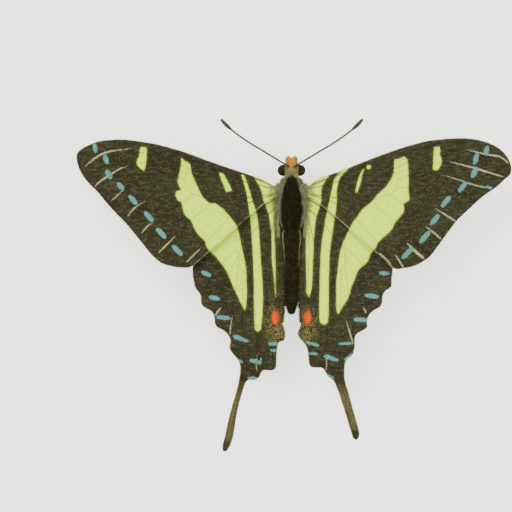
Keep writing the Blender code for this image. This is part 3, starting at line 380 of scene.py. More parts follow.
class Wing:
    def __init__(self, name):
        self.name = name
        self.isFore = name.startswith("fore")
        self.side = name.split("_")[1]
        self.sign = -1.0 if self.side == "left" else 1.0
        veins = foreVeins if self.isFore else hindVeins
        self.outline = smoothLine(outlines[name], 0.6, closed=True)
        self.veins = [smoothLine([(-x * self.sign, y) for x, y in line], 1.0) for line in veins.values()]
        self.costa = smoothLine(outlines[name][:costaPoints], 1.0)
        self.low = self.outline.min(0)
        self.high = self.outline.max(0)
        self.size = float((self.high - self.low).max())

    def rim(self, points):
        return -shapeGap(points, self.outline)

    def veinGap(self, points):
        return nearestOf(points, (lineGap(points, line) for line in self.veins))

    # The sheet thins out towards its margin.
    def halfSkin(self, rim):
        return wingRule["skinHalf"] * np.clip(0.35 + rim / 0.8, 0.35, 1.0)

    # The sheet sags a little between its veins.
    def height(self, points):
        sag = wingRule["sag"] * (1.0 - np.exp(-(self.veinGap(points) / wingRule["sagReach"]) ** 2))
        return wingHeight(points, self.isFore) - sag

    def normal(self, points):
        step = 0.12
        rise = [self.height(points + shift) - self.height(points - shift)
                for shift in (np.array([step, 0.0]), np.array([0.0, step]))]
        return unitRows(np.stack([-rise[0] / (2 * step), -rise[1] / (2 * step), np.ones(len(points))], 1))

    # Scales and hairs lie along the nearest veins.
    def lie(self, points):
        pull = np.zeros_like(points)
        for vein in self.veins:
            for start, end in zip(vein[:-1], vein[1:]):
                gap = stretchGap(points, start, end)[0]
                pull += ((end - start) / np.linalg.norm(end - start)) / (gap[:, None] ** 2 + 0.4) ** 1.5
        return unitRows(pull)

    def blueGap(self, points, rim):
        gaps = [leafGap(points, bar) for bar in blueMarks[self.name]]
        for bar in marginMarks.get(self.name, []):
            depth = max(self.rim(np.array([bar[:2]]))[0], bar[3] / 2 + markRule["marginLeast"])
            gaps.append(edgeMarkGap(points, rim, bar, depth))
        return nearestOf(points, gaps)

    def streakGap(self, points):
        gaps = []
        for line, halfWidth in paleStreaks[self.name]:
            ends = self.rim(np.array([line[0], line[-1]]))
            outerFirst = line if ends[0] < ends[1] else line[::-1]
            gaps.append(taperedGap(points, outerFirst, halfWidth))
        return nearestOf(points, gaps)

    # Distances in millimetres to every mark's edge, less than nothing inside the mark.
    def marks(self, points, under=False):
        rim = self.rim(points)
        none = np.full(len(points), far)
        pale = [shapeGap(points, smoothLine(band, 0.7, closed=True)) for band in paleBands[self.side]]
        pale += [np.hypot(points[:, 0] - x, points[:, 1] - y) - radius
                 for x, y, radius in paleSpots.get(self.side, [])]
        reach = np.linalg.norm((points - np.array(analSpots[self.side])) / np.array(analSpotSize), axis=1)
        speckled = smoothLine([(x * self.sign, y) for x, y in speckledGround], 0.6, closed=True)
        rule = markRule
        tail = np.clip((rule["tailFrom"] - points[:, 1]) / rule["tailFade"], 0.0, 1.0)
        tail *= np.clip(points[:, 1] - self.low[1] - rule["tailTip"], 0.0, 1.0)
        beside = (np.abs(points[:, 0]) < rule["besideX"]) & (points[:, 1] > rule["besideRear"])
        found = {
            "paleGap": nearestOf(points, pale),
            "blueGap": self.blueGap(points, rim),
            "streakGap": self.streakGap(points),
            "orangeGap": none if self.isFore else (reach - 1.0) * analSpotSize[0],
            "veinGap": self.veinGap(points),
            "rimGap": np.where(beside, rule["besideRim"], rim),
            "speckGap": shapeGap(points, speckled),
            "tail": tail * np.clip(rim / 0.5, 0.0, 1.0),
            "costaGap": lineGap(points, self.costa) if self.isFore else none,
        }
        if under:
            bar = smoothLine([(x * self.sign, y) for x, y in underBar], 0.8)
            found["redGap"] = lineGap(points, bar) - underBarHalf
        return found


# Mesh helpers.

def toWorld(places):
    world = np.array(places, float).reshape(-1, 3) * mm
    world[:, 1] += datumY * mm
    return world


def meshFromArrays(name, corners, faces):
    mesh = bpy.data.meshes.new(name)
    mesh.vertices.add(len(corners))
    mesh.vertices.foreach_set("co", corners.astype(np.float32).ravel())
    mesh.loops.add(faces.size)
    mesh.loops.foreach_set("vertex_index", faces.astype(np.int32).ravel())
    mesh.polygons.add(len(faces))
    starts = np.arange(len(faces), dtype=np.int32) * faces.shape[1]
    mesh.polygons.foreach_set("loop_start", starts)
    mesh.update(calc_edges=True)
    return mesh


def giveValues(mesh, values):
    for name, numbers in values.items():
        attribute = mesh.attributes.get(name) or mesh.attributes.new(name, "FLOAT", "POINT")
        attribute.data.foreach_set("value", numbers.astype(np.float32))


def addPiece(name, mesh, material, nodes=(), smooth=True):
    piece = bpy.data.objects.new(name, mesh)
    bpy.context.scene.collection.objects.link(piece)
    mesh.materials.clear()
    mesh.materials.append(material)
    mesh.polygons.foreach_set("use_smooth", [smooth] * len(mesh.polygons))
    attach(piece, "root")
    if nodes:
        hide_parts(*nodes)
    return piece


def meshCorners(mesh):
    corners = np.zeros(len(mesh.vertices) * 3, np.float32)
    mesh.vertices.foreach_get("co", corners)
    return corners.reshape(-1, 3).astype(float)


def moveCorners(mesh, places):
    mesh.vertices.foreach_set("co", toWorld(places).astype(np.float32).ravel())


def evaluatedMesh(thing):
    evaluated = thing.evaluated_get(bpy.context.evaluated_depsgraph_get())
    return bpy.data.meshes.new_from_object(evaluated)


def looseObject(name, mesh):
    thing = bpy.data.objects.new(name, mesh)
    bpy.context.scene.collection.objects.link(thing)
    return thing


def meshOf(form, name):
    mesh = bpy.data.meshes.new(name)
    form.to_mesh(mesh)
    form.free()
    return mesh


# One closed tube for each line of (place, radius) pairs, in millimetres.
def tubesMesh(name, lines, resolution=3):
    curve = bpy.data.curves.new(name, "CURVE")
    curve.dimensions = "3D"
    curve.bevel_depth = mm
    curve.bevel_resolution = resolution
    curve.use_fill_caps = True
    for line in lines:
        spline = curve.splines.new("POLY")
        spline.points.add(len(line) - 1)
        for station, (place, radius) in zip(spline.points, line):
            station.co = (*toWorld(place)[0], 1.0)
            station.radius = radius
    guide = looseObject(name + "Guide", curve)
    mesh = evaluatedMesh(guide)
    bpy.data.objects.remove(guide)
    form = bmesh.new()
    form.from_mesh(mesh)
    bmesh.ops.remove_doubles(form, verts=form.verts[:], dist=0.000001)
    bmesh.ops.recalc_face_normals(form, faces=form.faces[:])
    return meshOf(form, name)


# A tuft is one small closed shape: its columns are the shares along, across, of the rise and of the body.
scaleShape = np.array([(-0.5, 0.0, -0.35, 0.0), (-0.05, -0.5, 0.3, 0.0), (-0.05, 0.5, 0.3, 0.0),
                       (0.5, -0.33, 1.0, 0.0), (0.5, 0.33, 1.0, 0.0), (0.1, 0.0, -0.2, -1.0)])
scaleFaces = np.array([(0, 1, 2), (1, 3, 4), (1, 4, 2), (1, 0, 5), (3, 1, 5), (4, 3, 5), (2, 4, 5),
                       (0, 2, 5)])
hairShape = np.array([(-0.1, -0.5, -0.1, -0.4), (-0.1, 0.5, -0.1, -0.4), (-0.1, 0.0, -0.1, 0.6),
                      (0.45, -0.42, 0.62, -0.35), (0.45, 0.42, 0.62, -0.35), (0.45, 0.0, 0.62, 0.5),
                      (1.0, 0.0, 0.9, 0.0)])
hairFaces = np.array([(0, 2, 1), (0, 1, 4), (0, 4, 3), (1, 2, 5), (1, 5, 4), (2, 0, 3), (2, 3, 5), (3, 4, 6),
                      (4, 5, 6), (5, 3, 6)])


# Sizes are length, width, rise and body in millimetres, one row for each root.
def plantTufts(name, shape, faces, roots, ahead, up, sizes, values, bakePlaces):
    across = unitRows(np.cross(up, ahead))
    length, width, rise, body = (sizes[:, i][:, None, None] for i in range(4))
    corners = roots[:, None, :] + shape[None, :, 0, None] * length * ahead[:, None, :]
    corners = corners + shape[None, :, 1, None] * width * across[:, None, :]
    corners = corners + (shape[None, :, 2, None] * rise + shape[None, :, 3, None] * body) * up[:, None, :]
    count, points = len(roots), len(shape)
    allFaces = (faces[None] + (np.arange(count) * points)[:, None, None]).reshape(-1, 3)
    mesh = meshFromArrays(name, toWorld(corners.reshape(-1, 3)), allFaces)
    giveValues(mesh, {key: np.repeat(numbers, points) for key, numbers in values.items()})
    patch = 0.0015
    spread = shape[:, :2] * np.array([patch, patch * 2])
    bake = (bakePlaces[:, None, :] + spread[None]).reshape(-1, 2)
    layer = mesh.uv_layers.new(name="OFBake")
    layer.data.foreach_set("uv", np.clip(bake, 0.0, 1.0)[allFaces.ravel()].astype(np.float32).ravel())
    return mesh


# Turns each direction into the surface that its normal belongs to.
def alongSurface(ahead, normal):
    return unitRows(ahead - normal * np.sum(ahead * normal, axis=1)[:, None])


def addHairs(name, slotName, roots, ahead, up, sizes, values, bakePlaces, finish="coat"):
    mesh = plantTufts(name, hairShape, hairFaces, roots, ahead, up, sizes, values, bakePlaces)
    return addPiece(name, mesh, materials[finish])


def hairSizes(dice, count, look):
    middle = np.array([look["length"], look["width"], look["rise"], look["width"]])
    return dice.uniform(0.6, 1.15, (count, 1)) * middle


# Grey-green down, with the shares of pale and of dark drawn between two bounds.
def greyDown(dice, count, pale, dark=None):
    darkShare = np.zeros(count) if dark is None else dice.uniform(*dark, count)
    return {"gold": np.zeros(count), "dark": darkShare, "pale": dice.uniform(*pale, count),
            "tone": dice.random(count)}


# Shader helpers and the groups that several finishes share.

def addNode(tree, kind, **settings):
    made = tree.nodes.new(kind)
    for key, value in settings.items():
        setattr(made, key, value)
    return made


def joinTo(tree, socket, value):
    if isinstance(value, (int, float)):
        socket.default_value = value
    elif isinstance(value, tuple):
        socket.default_value = (*value, 1.0)
    else:
        tree.links.new(value, socket)


def mathNode(tree, operation, *values, clamp=False):
    made = addNode(tree, "ShaderNodeMath", operation=operation, use_clamp=clamp)
    for socket, value in zip(made.inputs, values):
        joinTo(tree, socket, value)
    return made.outputs[0]


def times(tree, first, second, clamp=False):
    return mathNode(tree, "MULTIPLY", first, second, clamp=clamp)


def mixColour(tree, factor, first, second, blend="MIX"):
    made = addNode(tree, "ShaderNodeMix", data_type="RGBA", blend_type=blend)
    for number, value in ((0, factor), (6, first), (7, second)):
        joinTo(tree, made.inputs[number], value)
    return made.outputs[2]


def attributeValue(tree, name):
    return addNode(tree, "ShaderNodeAttribute", attribute_name=name).outputs["Fac"]


def objectNoise(tree, scale, detail=2.0, roughness=0.5, stretch=(1.0, 1.0, 1.0)):
    place = addNode(tree, "ShaderNodeTexCoord")
    stretched = addNode(tree, "ShaderNodeMapping")
    made = addNode(tree, "ShaderNodeTexNoise")
    stretched.inputs["Scale"].default_value = stretch
    made.inputs["Scale"].default_value = scale
    made.inputs["Detail"].default_value = detail
    made.inputs["Roughness"].default_value = roughness
    tree.links.new(place.outputs["Object"], stretched.inputs["Vector"])
    tree.links.new(stretched.outputs["Vector"], made.inputs["Vector"])
    return made.outputs["Fac"]


def giveBump(tree, shader, height, strength, distance, invert=False):
    bump = addNode(tree, "ShaderNodeBump", invert=invert)
    bump.inputs["Strength"].default_value = strength
    bump.inputs["Distance"].default_value = distance
    tree.links.new(height, bump.inputs["Height"])
    tree.links.new(bump.outputs[0], shader.inputs["Normal"])


def makeGroup(name, numbers, kind, resultName):
    tree = bpy.data.node_groups.new(name, "ShaderNodeTree")
    for label in numbers:
        tree.interface.new_socket(label, in_out="INPUT", socket_type="NodeSocketFloat")
    if kind == "NodeSocketColor":
        tree.interface.new_socket("Color", in_out="INPUT", socket_type=kind)
    tree.interface.new_socket(resultName, in_out="OUTPUT", socket_type=kind)
    return tree, addNode(tree, "NodeGroupInput"), addNode(tree, "NodeGroupOutput")


# Turns a distance in millimetres to a mark's edge into a mask with a slightly uneven edge.
def makeEdgeMask():
    tree, given, result = makeGroup("edgeMask", ("Gap", "Softness", "Wobble"), "NodeSocketFloat", "Mask")
    wander = mathNode(tree, "SUBTRACT", objectNoise(tree, 2600.0), 0.5)
    moved = mathNode(tree, "MULTIPLY_ADD", wander, given.outputs["Wobble"], given.outputs["Gap"])
    share = mathNode(tree, "DIVIDE", moved, given.outputs["Softness"])
    tree.links.new(mathNode(tree, "SUBTRACT", 0.5, share, clamp=True), result.inputs["Mask"])
    return tree


# Varies a colour from scale to scale and over patches of the wing.
def makeGrain():
    tree, given, result = makeGroup("scaleGrain", ("Tone", "Strength"), "NodeSocketColor", "Color")
    scaleTone = times(tree, given.outputs["Tone"], 0.7)
    patches = mathNode(tree, "MULTIPLY_ADD", objectNoise(tree, 420.0, 3.0), 0.6, scaleTone)
    centred = mathNode(tree, "SUBTRACT", patches, 0.62)
    lift = mathNode(tree, "MULTIPLY_ADD", centred, given.outputs["Strength"], 1.0)
    grey = addNode(tree, "ShaderNodeCombineColor")
    for socket in grey.inputs[:3]:
        tree.links.new(lift, socket)
    tree.links.new(mixColour(tree, 1.0, given.outputs["Color"], grey.outputs[0], "MULTIPLY"),
                   result.inputs["Color"])
    return tree


edgeMask = makeEdgeMask()
scaleGrain = makeGrain()


# Each mark's attribute, and the softness and wobble of its edge in millimetres.
markEdges = {
    "speck": ("speckGap", 2.2, 0.6),
    "halo": ("paleGap", 1.1, 0.3),
    "pale": ("paleGap", 0.14, 0.16),
    "veinOnPale": ("paleGap", 0.2, 0.1),
    "streak": ("streakGap", 0.12, 0.1),
    "blue": ("blueGap", 0.16, 0.3),
    "costa": ("costaGap", 0.3, 0.2),
    "orange": ("orangeGap", 0.12, 0.12),
    "red": ("redGap", 0.12, 0.1),
}


def maskOf(tree, mark):
    attribute, softness, wobble = markEdges[mark]
    made = addNode(tree, "ShaderNodeGroup", node_tree=edgeMask)
    tree.links.new(attributeValue(tree, attribute), made.inputs["Gap"])
    made.inputs["Softness"].default_value = softness
    made.inputs["Wobble"].default_value = wobble
    return made.outputs[0]


def newMaterial(name, roughness, specular):
    material = bpy.data.materials.new(name)
    material.use_nodes = True
    shader = material.node_tree.nodes["Principled BSDF"]
    shader.inputs["Roughness"].default_value = roughness
    shader.inputs["Specular IOR Level"].default_value = specular
    return material, material.node_tree, shader


def grainedColour(tree, colour, strength):
    made = addNode(tree, "ShaderNodeGroup", node_tree=scaleGrain)
    tree.links.new(colour, made.inputs["Color"])
    tree.links.new(attributeValue(tree, "tone"), made.inputs["Tone"])
    made.inputs["Strength"].default_value = strength
    return made.outputs[0]


wingColours = {
    "groundBrown": (0.0165, 0.0125, 0.0034),
    "groundOlive": (0.0225, 0.025, 0.0072),
    "fleck": (0.064, 0.060, 0.030),
    "pale": (0.62, 0.88, 0.025),
    "paleEdge": (0.30, 0.42, 0.02),
    "halo": (0.075, 0.095, 0.018),
    "blueGreen": (0.082, 0.225, 0.17),
    "blue": (0.08, 0.25, 0.245),
    "orange": (0.58, 0.06, 0.0),
    "orangeEdge": (0.34, 0.022, 0.0),
    "streak": (0.34, 0.32, 0.17),
    "cream": (0.40, 0.31, 0.125),
    "costa": (0.075, 0.082, 0.035),
    "ochre": (0.145, 0.115, 0.035),
    "tail": (0.125, 0.10, 0.036),
    "red": (0.50, 0.03, 0.012),
    "underGround": (0.085, 0.07, 0.03),
    "veinShade": (0.45, 0.45, 0.4),
    "veinDark": (0.013, 0.010, 0.004),
    "veinLight": (0.034, 0.031, 0.013),
    "veinOnPale": (0.14, 0.175, 0.03),
}


# The ground is flecked in short wavering lines across the wing, as its rows of paler scales are.
def makeWingMaterial(name, under=False):
    material, tree, shader = newMaterial(name, 0.66, 0.1)
    look = wingColours
    tone = attributeValue(tree, "tone")
    grounds = ("groundOlive", "underGround") if under else ("groundBrown", "groundOlive")
    broad = mathNode(tree, "MULTIPLY_ADD", objectNoise(tree, 190.0, 3.0, 0.6), 2.4, -0.7, clamp=True)
    rows = objectNoise(tree, 2300.0, stretch=(0.28, 1.0, 1.0))
    flecked = mathNode(tree, "SUBTRACT", mathNode(tree, "MULTIPLY_ADD", tone, 0.38, rows), 0.7)
    ochreScales = times(tree, mathNode(tree, "GREATER_THAN", tone, 0.45), 0.8)
    tailScales = mathNode(tree, "GREATER_THAN", objectNoise(tree, 3600.0), 0.5)
    tailShare = mathNode(tree, "MULTIPLY_ADD", tailScales, 0.45, 0.4)
    blueTone = mixColour(tree, objectNoise(tree, 260.0), look["blueGreen"], look["blue"])
    paleRim = times(tree, mathNode(tree, "ADD", attributeValue(tree, "paleGap"), 0.3), 3.0, clamp=True)
    paleTone = mixColour(tree, times(tree, paleRim, 0.55), look["pale"], look["paleEdge"])
    inside = times(tree, attributeValue(tree, "orangeGap"), -4.0, clamp=True)
    orangeTone = mixColour(tree, inside, look["orangeEdge"], look["orange"])
    rim = mathNode(tree, "MULTIPLY_ADD", attributeValue(tree, "rimGap"), -5.0, 1.35, clamp=True)
    broken = times(tree, mathNode(tree, "SUBTRACT", objectNoise(tree, 800.0), 0.3), 3.0, clamp=True)
    vein = mathNode(tree, "MULTIPLY_ADD", attributeValue(tree, "veinGap"), -9.0, 1.3, clamp=True)
    costa = [] if under else [(times(tree, maskOf(tree, "costa"), 0.9), look["costa"])]
    redBar = [(maskOf(tree, "red"), look["red"])] if under else []
    layers = [
        (times(tree, times(tree, flecked, 5.0, clamp=True), 0.62), look["fleck"]),
        (times(tree, maskOf(tree, "speck"), ochreScales), look["ochre"]),
        (times(tree, attributeValue(tree, "tail"), tailShare), look["tail"]),
        (times(tree, maskOf(tree, "halo"), 0.7), look["halo"]),
        (maskOf(tree, "streak"), look["streak"]),
        (maskOf(tree, "blue"), blueTone),
        (maskOf(tree, "pale"), paleTone),
        *costa,
        (maskOf(tree, "orange"), orangeTone),
        *redBar,
        (times(tree, rim, times(tree, broken, 0.75)), look["cream"]),
    ]
    colour = mixColour(tree, broad, look[grounds[0]], look[grounds[1]])
    for mask, top in layers:
        colour = mixColour(tree, mask, colour, top)
    colour = mixColour(tree, times(tree, vein, 0.6), colour, look["veinShade"], "MULTIPLY")
    tree.links.new(grainedColour(tree, colour, 0.35), shader.inputs["Base Color"])
    tree.links.new(mathNode(tree, "MULTIPLY_ADD", tone, 0.2, 0.55), shader.inputs["Roughness"])
    giveBump(tree, shader, objectNoise(tree, 9000.0), 0.35, 0.00003)
    return material


def makeVeinMaterial():
    material, tree, shader = newMaterial("veinHorn", 0.55, 0.15)
    look = wingColours
    dark = mixColour(tree, objectNoise(tree, 1500.0), look["veinDark"], look["veinLight"])
    onPale = mixColour(tree, maskOf(tree, "veinOnPale"), dark, look["veinOnPale"])
    colour = mixColour(tree, maskOf(tree, "streak"), onPale, look["streak"])
    tree.links.new(colour, shader.inputs["Base Color"])
    return material


materials = {
    "wing": makeWingMaterial("wingScales"),
    "under": makeWingMaterial("wingUnderScales", under=True),
    "vein": makeVeinMaterial(),
}
print("wing finishes made")


wingCoat = {
    "gridStep": 0.42,
    "rowStep": 0.165,
    "columnStep": 0.205,
    "length": 0.36,
    "width": 0.25,
    "rise": 0.05,
    "body": 0.012,
    "edge": 0.12,
    "lift": 0.004,
    "scatter": 0.018,
    "swing": 0.09,
    "foreTurn": math.radians(8.0),
    "hindTurn": math.radians(-70.0),
    "fringeStep": 0.075,
    "fringeLength": 0.42,
    "fringeWidth": 0.07,
    "fringeInset": 0.49,
    "fringeSwing": 0.14,
    "fringeBody": 0.06,
    "innerLength": 1.0,
    "innerWidth": 0.11,
    "innerInset": 0.25,
    "innerRows": 4,
    "innerScatter": 0.05,
    "innerLean": (-0.7, 0.1),
    "innerDrop": 0.4,
    "besideX": 3.3,          # the margin beside the abdomen is nearer to the middle than this
    "besideFront": 10.6,
    "besideRear": -8.5,
}
veinRule = {
    "rim": 0.25,
    "root": 0.2,
    "taper": 0.004,
    "least": 0.125,
    "tip": 0.09,
    "from": (2.0, 14.0),
}


def outlinePrism(name, outline):
    form = bmesh.new()
    ring = [form.verts.new((x, y, -2.0)) for x, y in outline]
    face = form.faces.new(ring)
    grown = bmesh.ops.extrude_face_region(form, geom=[face])
    top = [item for item in grown["geom"] if isinstance(item, bmesh.types.BMVert)]
    bmesh.ops.translate(form, verts=top, vec=(0.0, 0.0, 4.0))
    bmesh.ops.recalc_face_normals(form, faces=form.faces[:])
    return looseObject(name, meshOf(form, name))


def gridSlab(name, low, high, step):
    size = high - low
    form = bmesh.new()
    bmesh.ops.create_grid(form, x_segments=int(size[0] / step), y_segments=int(size[1] / step), size=0.5)
    middle = (low + high) / 2
    place = Matrix.Translation((middle[0], middle[1], -0.5)) @ Matrix.Diagonal((size[0], size[1], 1.0, 1.0))
    form.transform(place)
    bmesh.ops.solidify(form, geom=form.faces[:], thickness=1.0)
    bmesh.ops.recalc_face_normals(form, faces=form.faces[:])
    return looseObject(name, meshOf(form, name))


# The thin sheet that carries the scales: a fine slab cut to the wing's outline, then bent to its rise.
def makeWingSkin(wing):
    slab = gridSlab("slab", wing.low - 1.0, wing.high + 1.0, wingCoat["gridStep"])
    prism = outlinePrism("prism", wing.outline)
    cut = slab.modifiers.new("Outline", "BOOLEAN")
    cut.object = prism
    cut.operation = "INTERSECT"
    cut.solver = "MANIFOLD"
    mesh = evaluatedMesh(slab)
    bpy.data.objects.remove(slab)
    bpy.data.objects.remove(prism)
    corners = meshCorners(mesh)
    plan = corners[:, :2]
    face = np.where(corners[:, 2] > corners[:, 2].mean(), 1.0, -1.0)
    height = wing.height(plan) + face * wing.halfSkin(wing.rim(plan))
    moveCorners(mesh, np.column_stack([plan, height]))
    mesh.name = wing.name + "Skin"
    giveValues(mesh, wing.marks(plan))
    giveValues(mesh, {"tone": np.random.default_rng(5).random(len(plan))})
    return addPiece(wing.name + "Skin", mesh, materials["wing"], [wing.name])


# Each vein is a tapering tube that runs through the sheet and stands a little proud on both faces.
def makeVeins(wing):
    lines = []
    for vein in wing.veins:
        plan = vein[wing.rim(vein) > veinRule["rim"]]
        if len(plan) < 2:
            continue
        height = wingHeight(plan, wing.isFore)
        rootX, rootY = veinRule["from"]
        reach = np.abs(plan[:, 0] - wing.sign * rootX) + np.maximum(0.0, rootY - plan[:, 1])
        radius = np.clip(veinRule["root"] - veinRule["taper"] * reach, veinRule["least"], veinRule["root"])
        radius[-1] = veinRule["tip"]
        lines.append([((x, y, z), r) for (x, y), z, r in zip(plan, height, radius)])
    mesh = tubesMesh(wing.name + "Veins", lines, 2)
    corners = meshCorners(mesh) / mm
    corners[:, 1] -= datumY
    giveValues(mesh, wing.marks(corners[:, :2]))
    return addPiece(wing.name + "Veins", mesh, materials["vein"])


# Rows of places across the lie of the wing's scales, each row set off from the last.
def scalePlaces(wing, seed):
    dice = np.random.default_rng(seed)
    axis = heading(wingCoat["foreTurn"] if wing.isFore else wingCoat["hindTurn"]) * (wing.sign, 1.0)
    side = np.array([-axis[1], axis[0]])
    reach = wing.size * 1.5
    rows = np.arange(-reach, reach, wingCoat["rowStep"])
    columns = np.arange(-reach, reach, wingCoat["columnStep"])
    shift = (np.arange(len(rows)) % 2) * wingCoat["columnStep"] / 2
    along, across = np.meshgrid(rows, columns, indexing="ij")
    across = across + shift[:, None]
    middle = (wing.high + wing.low) / 2
    places = middle + along.reshape(-1, 1) * axis + across.reshape(-1, 1) * side
    places += dice.normal(0.0, wingCoat["scatter"], places.shape)
    close = np.all((places > wing.low - 0.2) & (places < wing.high + 0.2), axis=1)
    places = places[close]
    return places[wing.rim(places) > wingCoat["edge"]], dice


# The overlapping scales of one face of a wing, each one colour, as on the insect.
def makeScales(wing, face):
    above = face > 0
    places, dice = scalePlaces(wing, 11 if above else 12)
    lie = wing.lie(places)
    normal = wing.normal(places) * face
    swing = dice.normal(0.0, wingCoat["swing"], len(places))
    ahead = np.column_stack([lie + quarterTurn(lie) * swing[:, None], np.zeros(len(lie))])
    rim = wing.rim(places)
    height = wing.height(places) + face * (wing.halfSkin(rim) + wingCoat["lift"])
    vary = dice.uniform(0.85, 1.15, (len(places), 4))
    sizes = vary * np.array([wingCoat["length"], wingCoat["width"], wingCoat["rise"], wingCoat["body"]])
    sizes[:, 0] *= np.clip(rim / 0.3, 0.55, 1.0)
    values = wing.marks(places, under=not above)
    values["tone"] = dice.random(len(places))
    name = wing.name + ("ScalesAbove" if above else "ScalesBelow")
    mesh = plantTufts(name, scaleShape, scaleFaces, np.column_stack([places, height]),
                      alongSurface(ahead, normal), normal, sizes, values, (places - wing.low) / wing.size)
    return addPiece(name, mesh, materials["wing" if above else "under"], smooth=False)


# The fringe of narrow scales along the margin, and the soft hairs beside the abdomen in several rows.
def makeFringe(wing):
    coat = wingCoat
    dice = np.random.default_rng(21)
    line = smoothLine(outlines[wing.name], coat["fringeStep"], closed=True)
    outward = unitRows(-quarterTurn(np.roll(line, -3, 0) - np.roll(line, 3, 0)))
    outward[wing.rim(line + outward * 0.05) > 0] *= -1.0
    swing = dice.normal(0.0, coat["fringeSwing"], len(line))
    outward = unitRows(outward + quarterTurn(outward) * swing[:, None])
    nearBody = np.abs(line[:, 0]) < coat["besideX"]
    beside = nearBody & (line[:, 1] < coat["besideFront"]) & (line[:, 1] > coat["besideRear"])
    inset = np.where(beside, coat["innerInset"], coat["fringeInset"])
    plan = line - outward * inset[:, None]
    keep = (wing.rim(plan) > 0.05) & (beside | ~nearBody | (line[:, 1] < coat["besideRear"]))
    keep = np.concatenate([np.flatnonzero(keep), np.repeat(np.flatnonzero(keep & beside),
                                                           coat["innerRows"] - 1)])
    plan, outward, line, beside = plan[keep], outward[keep], line[keep], beside[keep]
    count = len(plan)
    plan = plan + dice.normal(0.0, coat["innerScatter"], (count, 2)) * beside[:, None]
    lean = dice.uniform(*coat["innerLean"], count) * beside
    outward = unitRows(outward + np.column_stack([np.zeros(count), lean]))
    reach = np.where(beside, coat["innerLength"], coat["fringeLength"])
    width = np.where(beside, coat["innerWidth"], coat["fringeWidth"])
    height = wing.height(plan) + dice.normal(0.0, 0.015, count)
    rise = dice.uniform(-0.02, 0.02, count) - dice.uniform(0.0, coat["innerDrop"], count) * beside
    reach = reach * dice.uniform(0.8, 1.0, count)
    sizes = np.column_stack([reach, width, rise, np.full(count, coat["fringeBody"])])
    values = wing.marks(line - outward * 0.12)
    values["tone"] = dice.random(count)
    addHairs(wing.name + "Fringe", "wing", np.column_stack([plan, height]),
             np.column_stack([outward, np.zeros(count)]), wing.normal(plan), sizes, values,
             (plan - wing.low) / wing.size, "wing")


wings = [Wing(name) for name in outlines]
for wing in wings:
    makeWingSkin(wing)
    makeVeins(wing)
    makeScales(wing, 1.0)
    makeScales(wing, -1.0)
    makeFringe(wing)
    print("wing made:", wing.name)


# The body: stations of one skin from the face to the tail, as y, half-width, half-height.
bodyRule = {
    "stations": [
        (22.12, 0.02, 0.02), (22.0, 0.42, 0.42), (21.7, 0.78, 0.8), (21.3, 1.0, 1.03), (20.7, 1.1, 1.15),
        (20.1, 1.05, 1.08), (19.75, 1.1, 1.05), (19.5, 1.3, 1.15), (19.2, 1.6, 1.4), (18.9, 1.78, 1.55),
        (18.5, 1.92, 1.65), (18.2, 2.05, 1.75), (17.8, 2.25, 1.92), (17.2, 2.5, 2.12), (16.4, 2.72, 2.3),
        (15.4, 2.8, 2.38), (14.0, 2.75, 2.34), (12.6, 2.52, 2.15), (11.2, 2.12, 1.85), (10.3, 1.8, 1.62),
        (9.7, 1.5, 1.4), (9.3, 1.6, 1.45), (8.6, 1.87, 1.66), (7.4, 1.85, 1.64), (5.4, 1.69, 1.5),
        (1.5, 1.57, 1.39), (-3.2, 1.41, 1.25), (-4.8, 1.19, 1.06), (-6.3, 0.8, 0.72), (-6.85, 0.44, 0.38),
        (-6.98, 0.02, 0.02),
    ],
    "axisZ": 7.0,
    "abdomenZ": 6.8,
    "abdomenFront": 9.5,
    "abdomenLength": 16.5,
    "droop": 1.3,
    "segments": 8,
    "groove": 0.07,
    "rings": 240,
    "sides": 56,
    # half-widths by place: the dark stripe of the back and the gold of the face
    "backStripe": [(-7.0, 1.6), (9.3, 1.6), (9.8, 1.6), (12.5, 1.95), (14.5, 2.0), (16.5, 1.72), (18.0, 1.3),
                   (19.0, 0.95), (19.9, 0.5), (20.3, 0.0)],
    "faceGold": [(20.6, 0.12), (21.0, 0.26), (22.0, 0.66), (22.6, 0.72), (23.4, 0.6)],
}
stationTable = smoothLine(bodyRule["stations"], 0.12)[::-1]


def bodyAxis(y):
    share = np.clip((bodyRule["abdomenFront"] - y) / bodyRule["abdomenLength"], 0.0, 1.0)
    blend = np.clip((10.2 - y) / 1.2, 0.0, 1.0)
    height = bodyRule["axisZ"] + (bodyRule["abdomenZ"] - bodyRule["axisZ"]) * blend
    return height - bodyRule["droop"] * share ** 2


def bodyHalf(y):
    order = np.argsort(stationTable[:, 0])
    width = np.interp(y, stationTable[order, 0], stationTable[order, 1])
    height = np.interp(y, stationTable[order, 0], stationTable[order, 2])
    share = (bodyRule["abdomenFront"] - y) / bodyRule["abdomenLength"] * bodyRule["segments"]
    part = share - np.floor(share)
    edge = np.exp(-(np.minimum(part, 1.0 - part) / 0.07) ** 2)
    ringed = 1.0 - bodyRule["groove"] * edge * (share > 0.3) * (share < bodyRule["segments"] - 0.4)
    return width * ringed, height * ringed


def bodyPlace(y, angle):
    width, height = bodyHalf(y)
    return np.column_stack([width * np.cos(angle), y, bodyAxis(y) + height * np.sin(angle)])


def bodyNormal(y, angle):
    step = 0.02
    alongY = bodyPlace(y + step, angle) - bodyPlace(y - step, angle)
    around = bodyPlace(y, angle + step) - bodyPlace(y, angle - step)
    normal = unitRows(np.cross(alongY, around))
    outward = np.column_stack([np.cos(angle), np.zeros(len(y)), np.sin(angle)])
    flip = np.sign(np.sum(normal * outward, axis=1))
    return normal * np.where(flip == 0, 1.0, flip)[:, None]


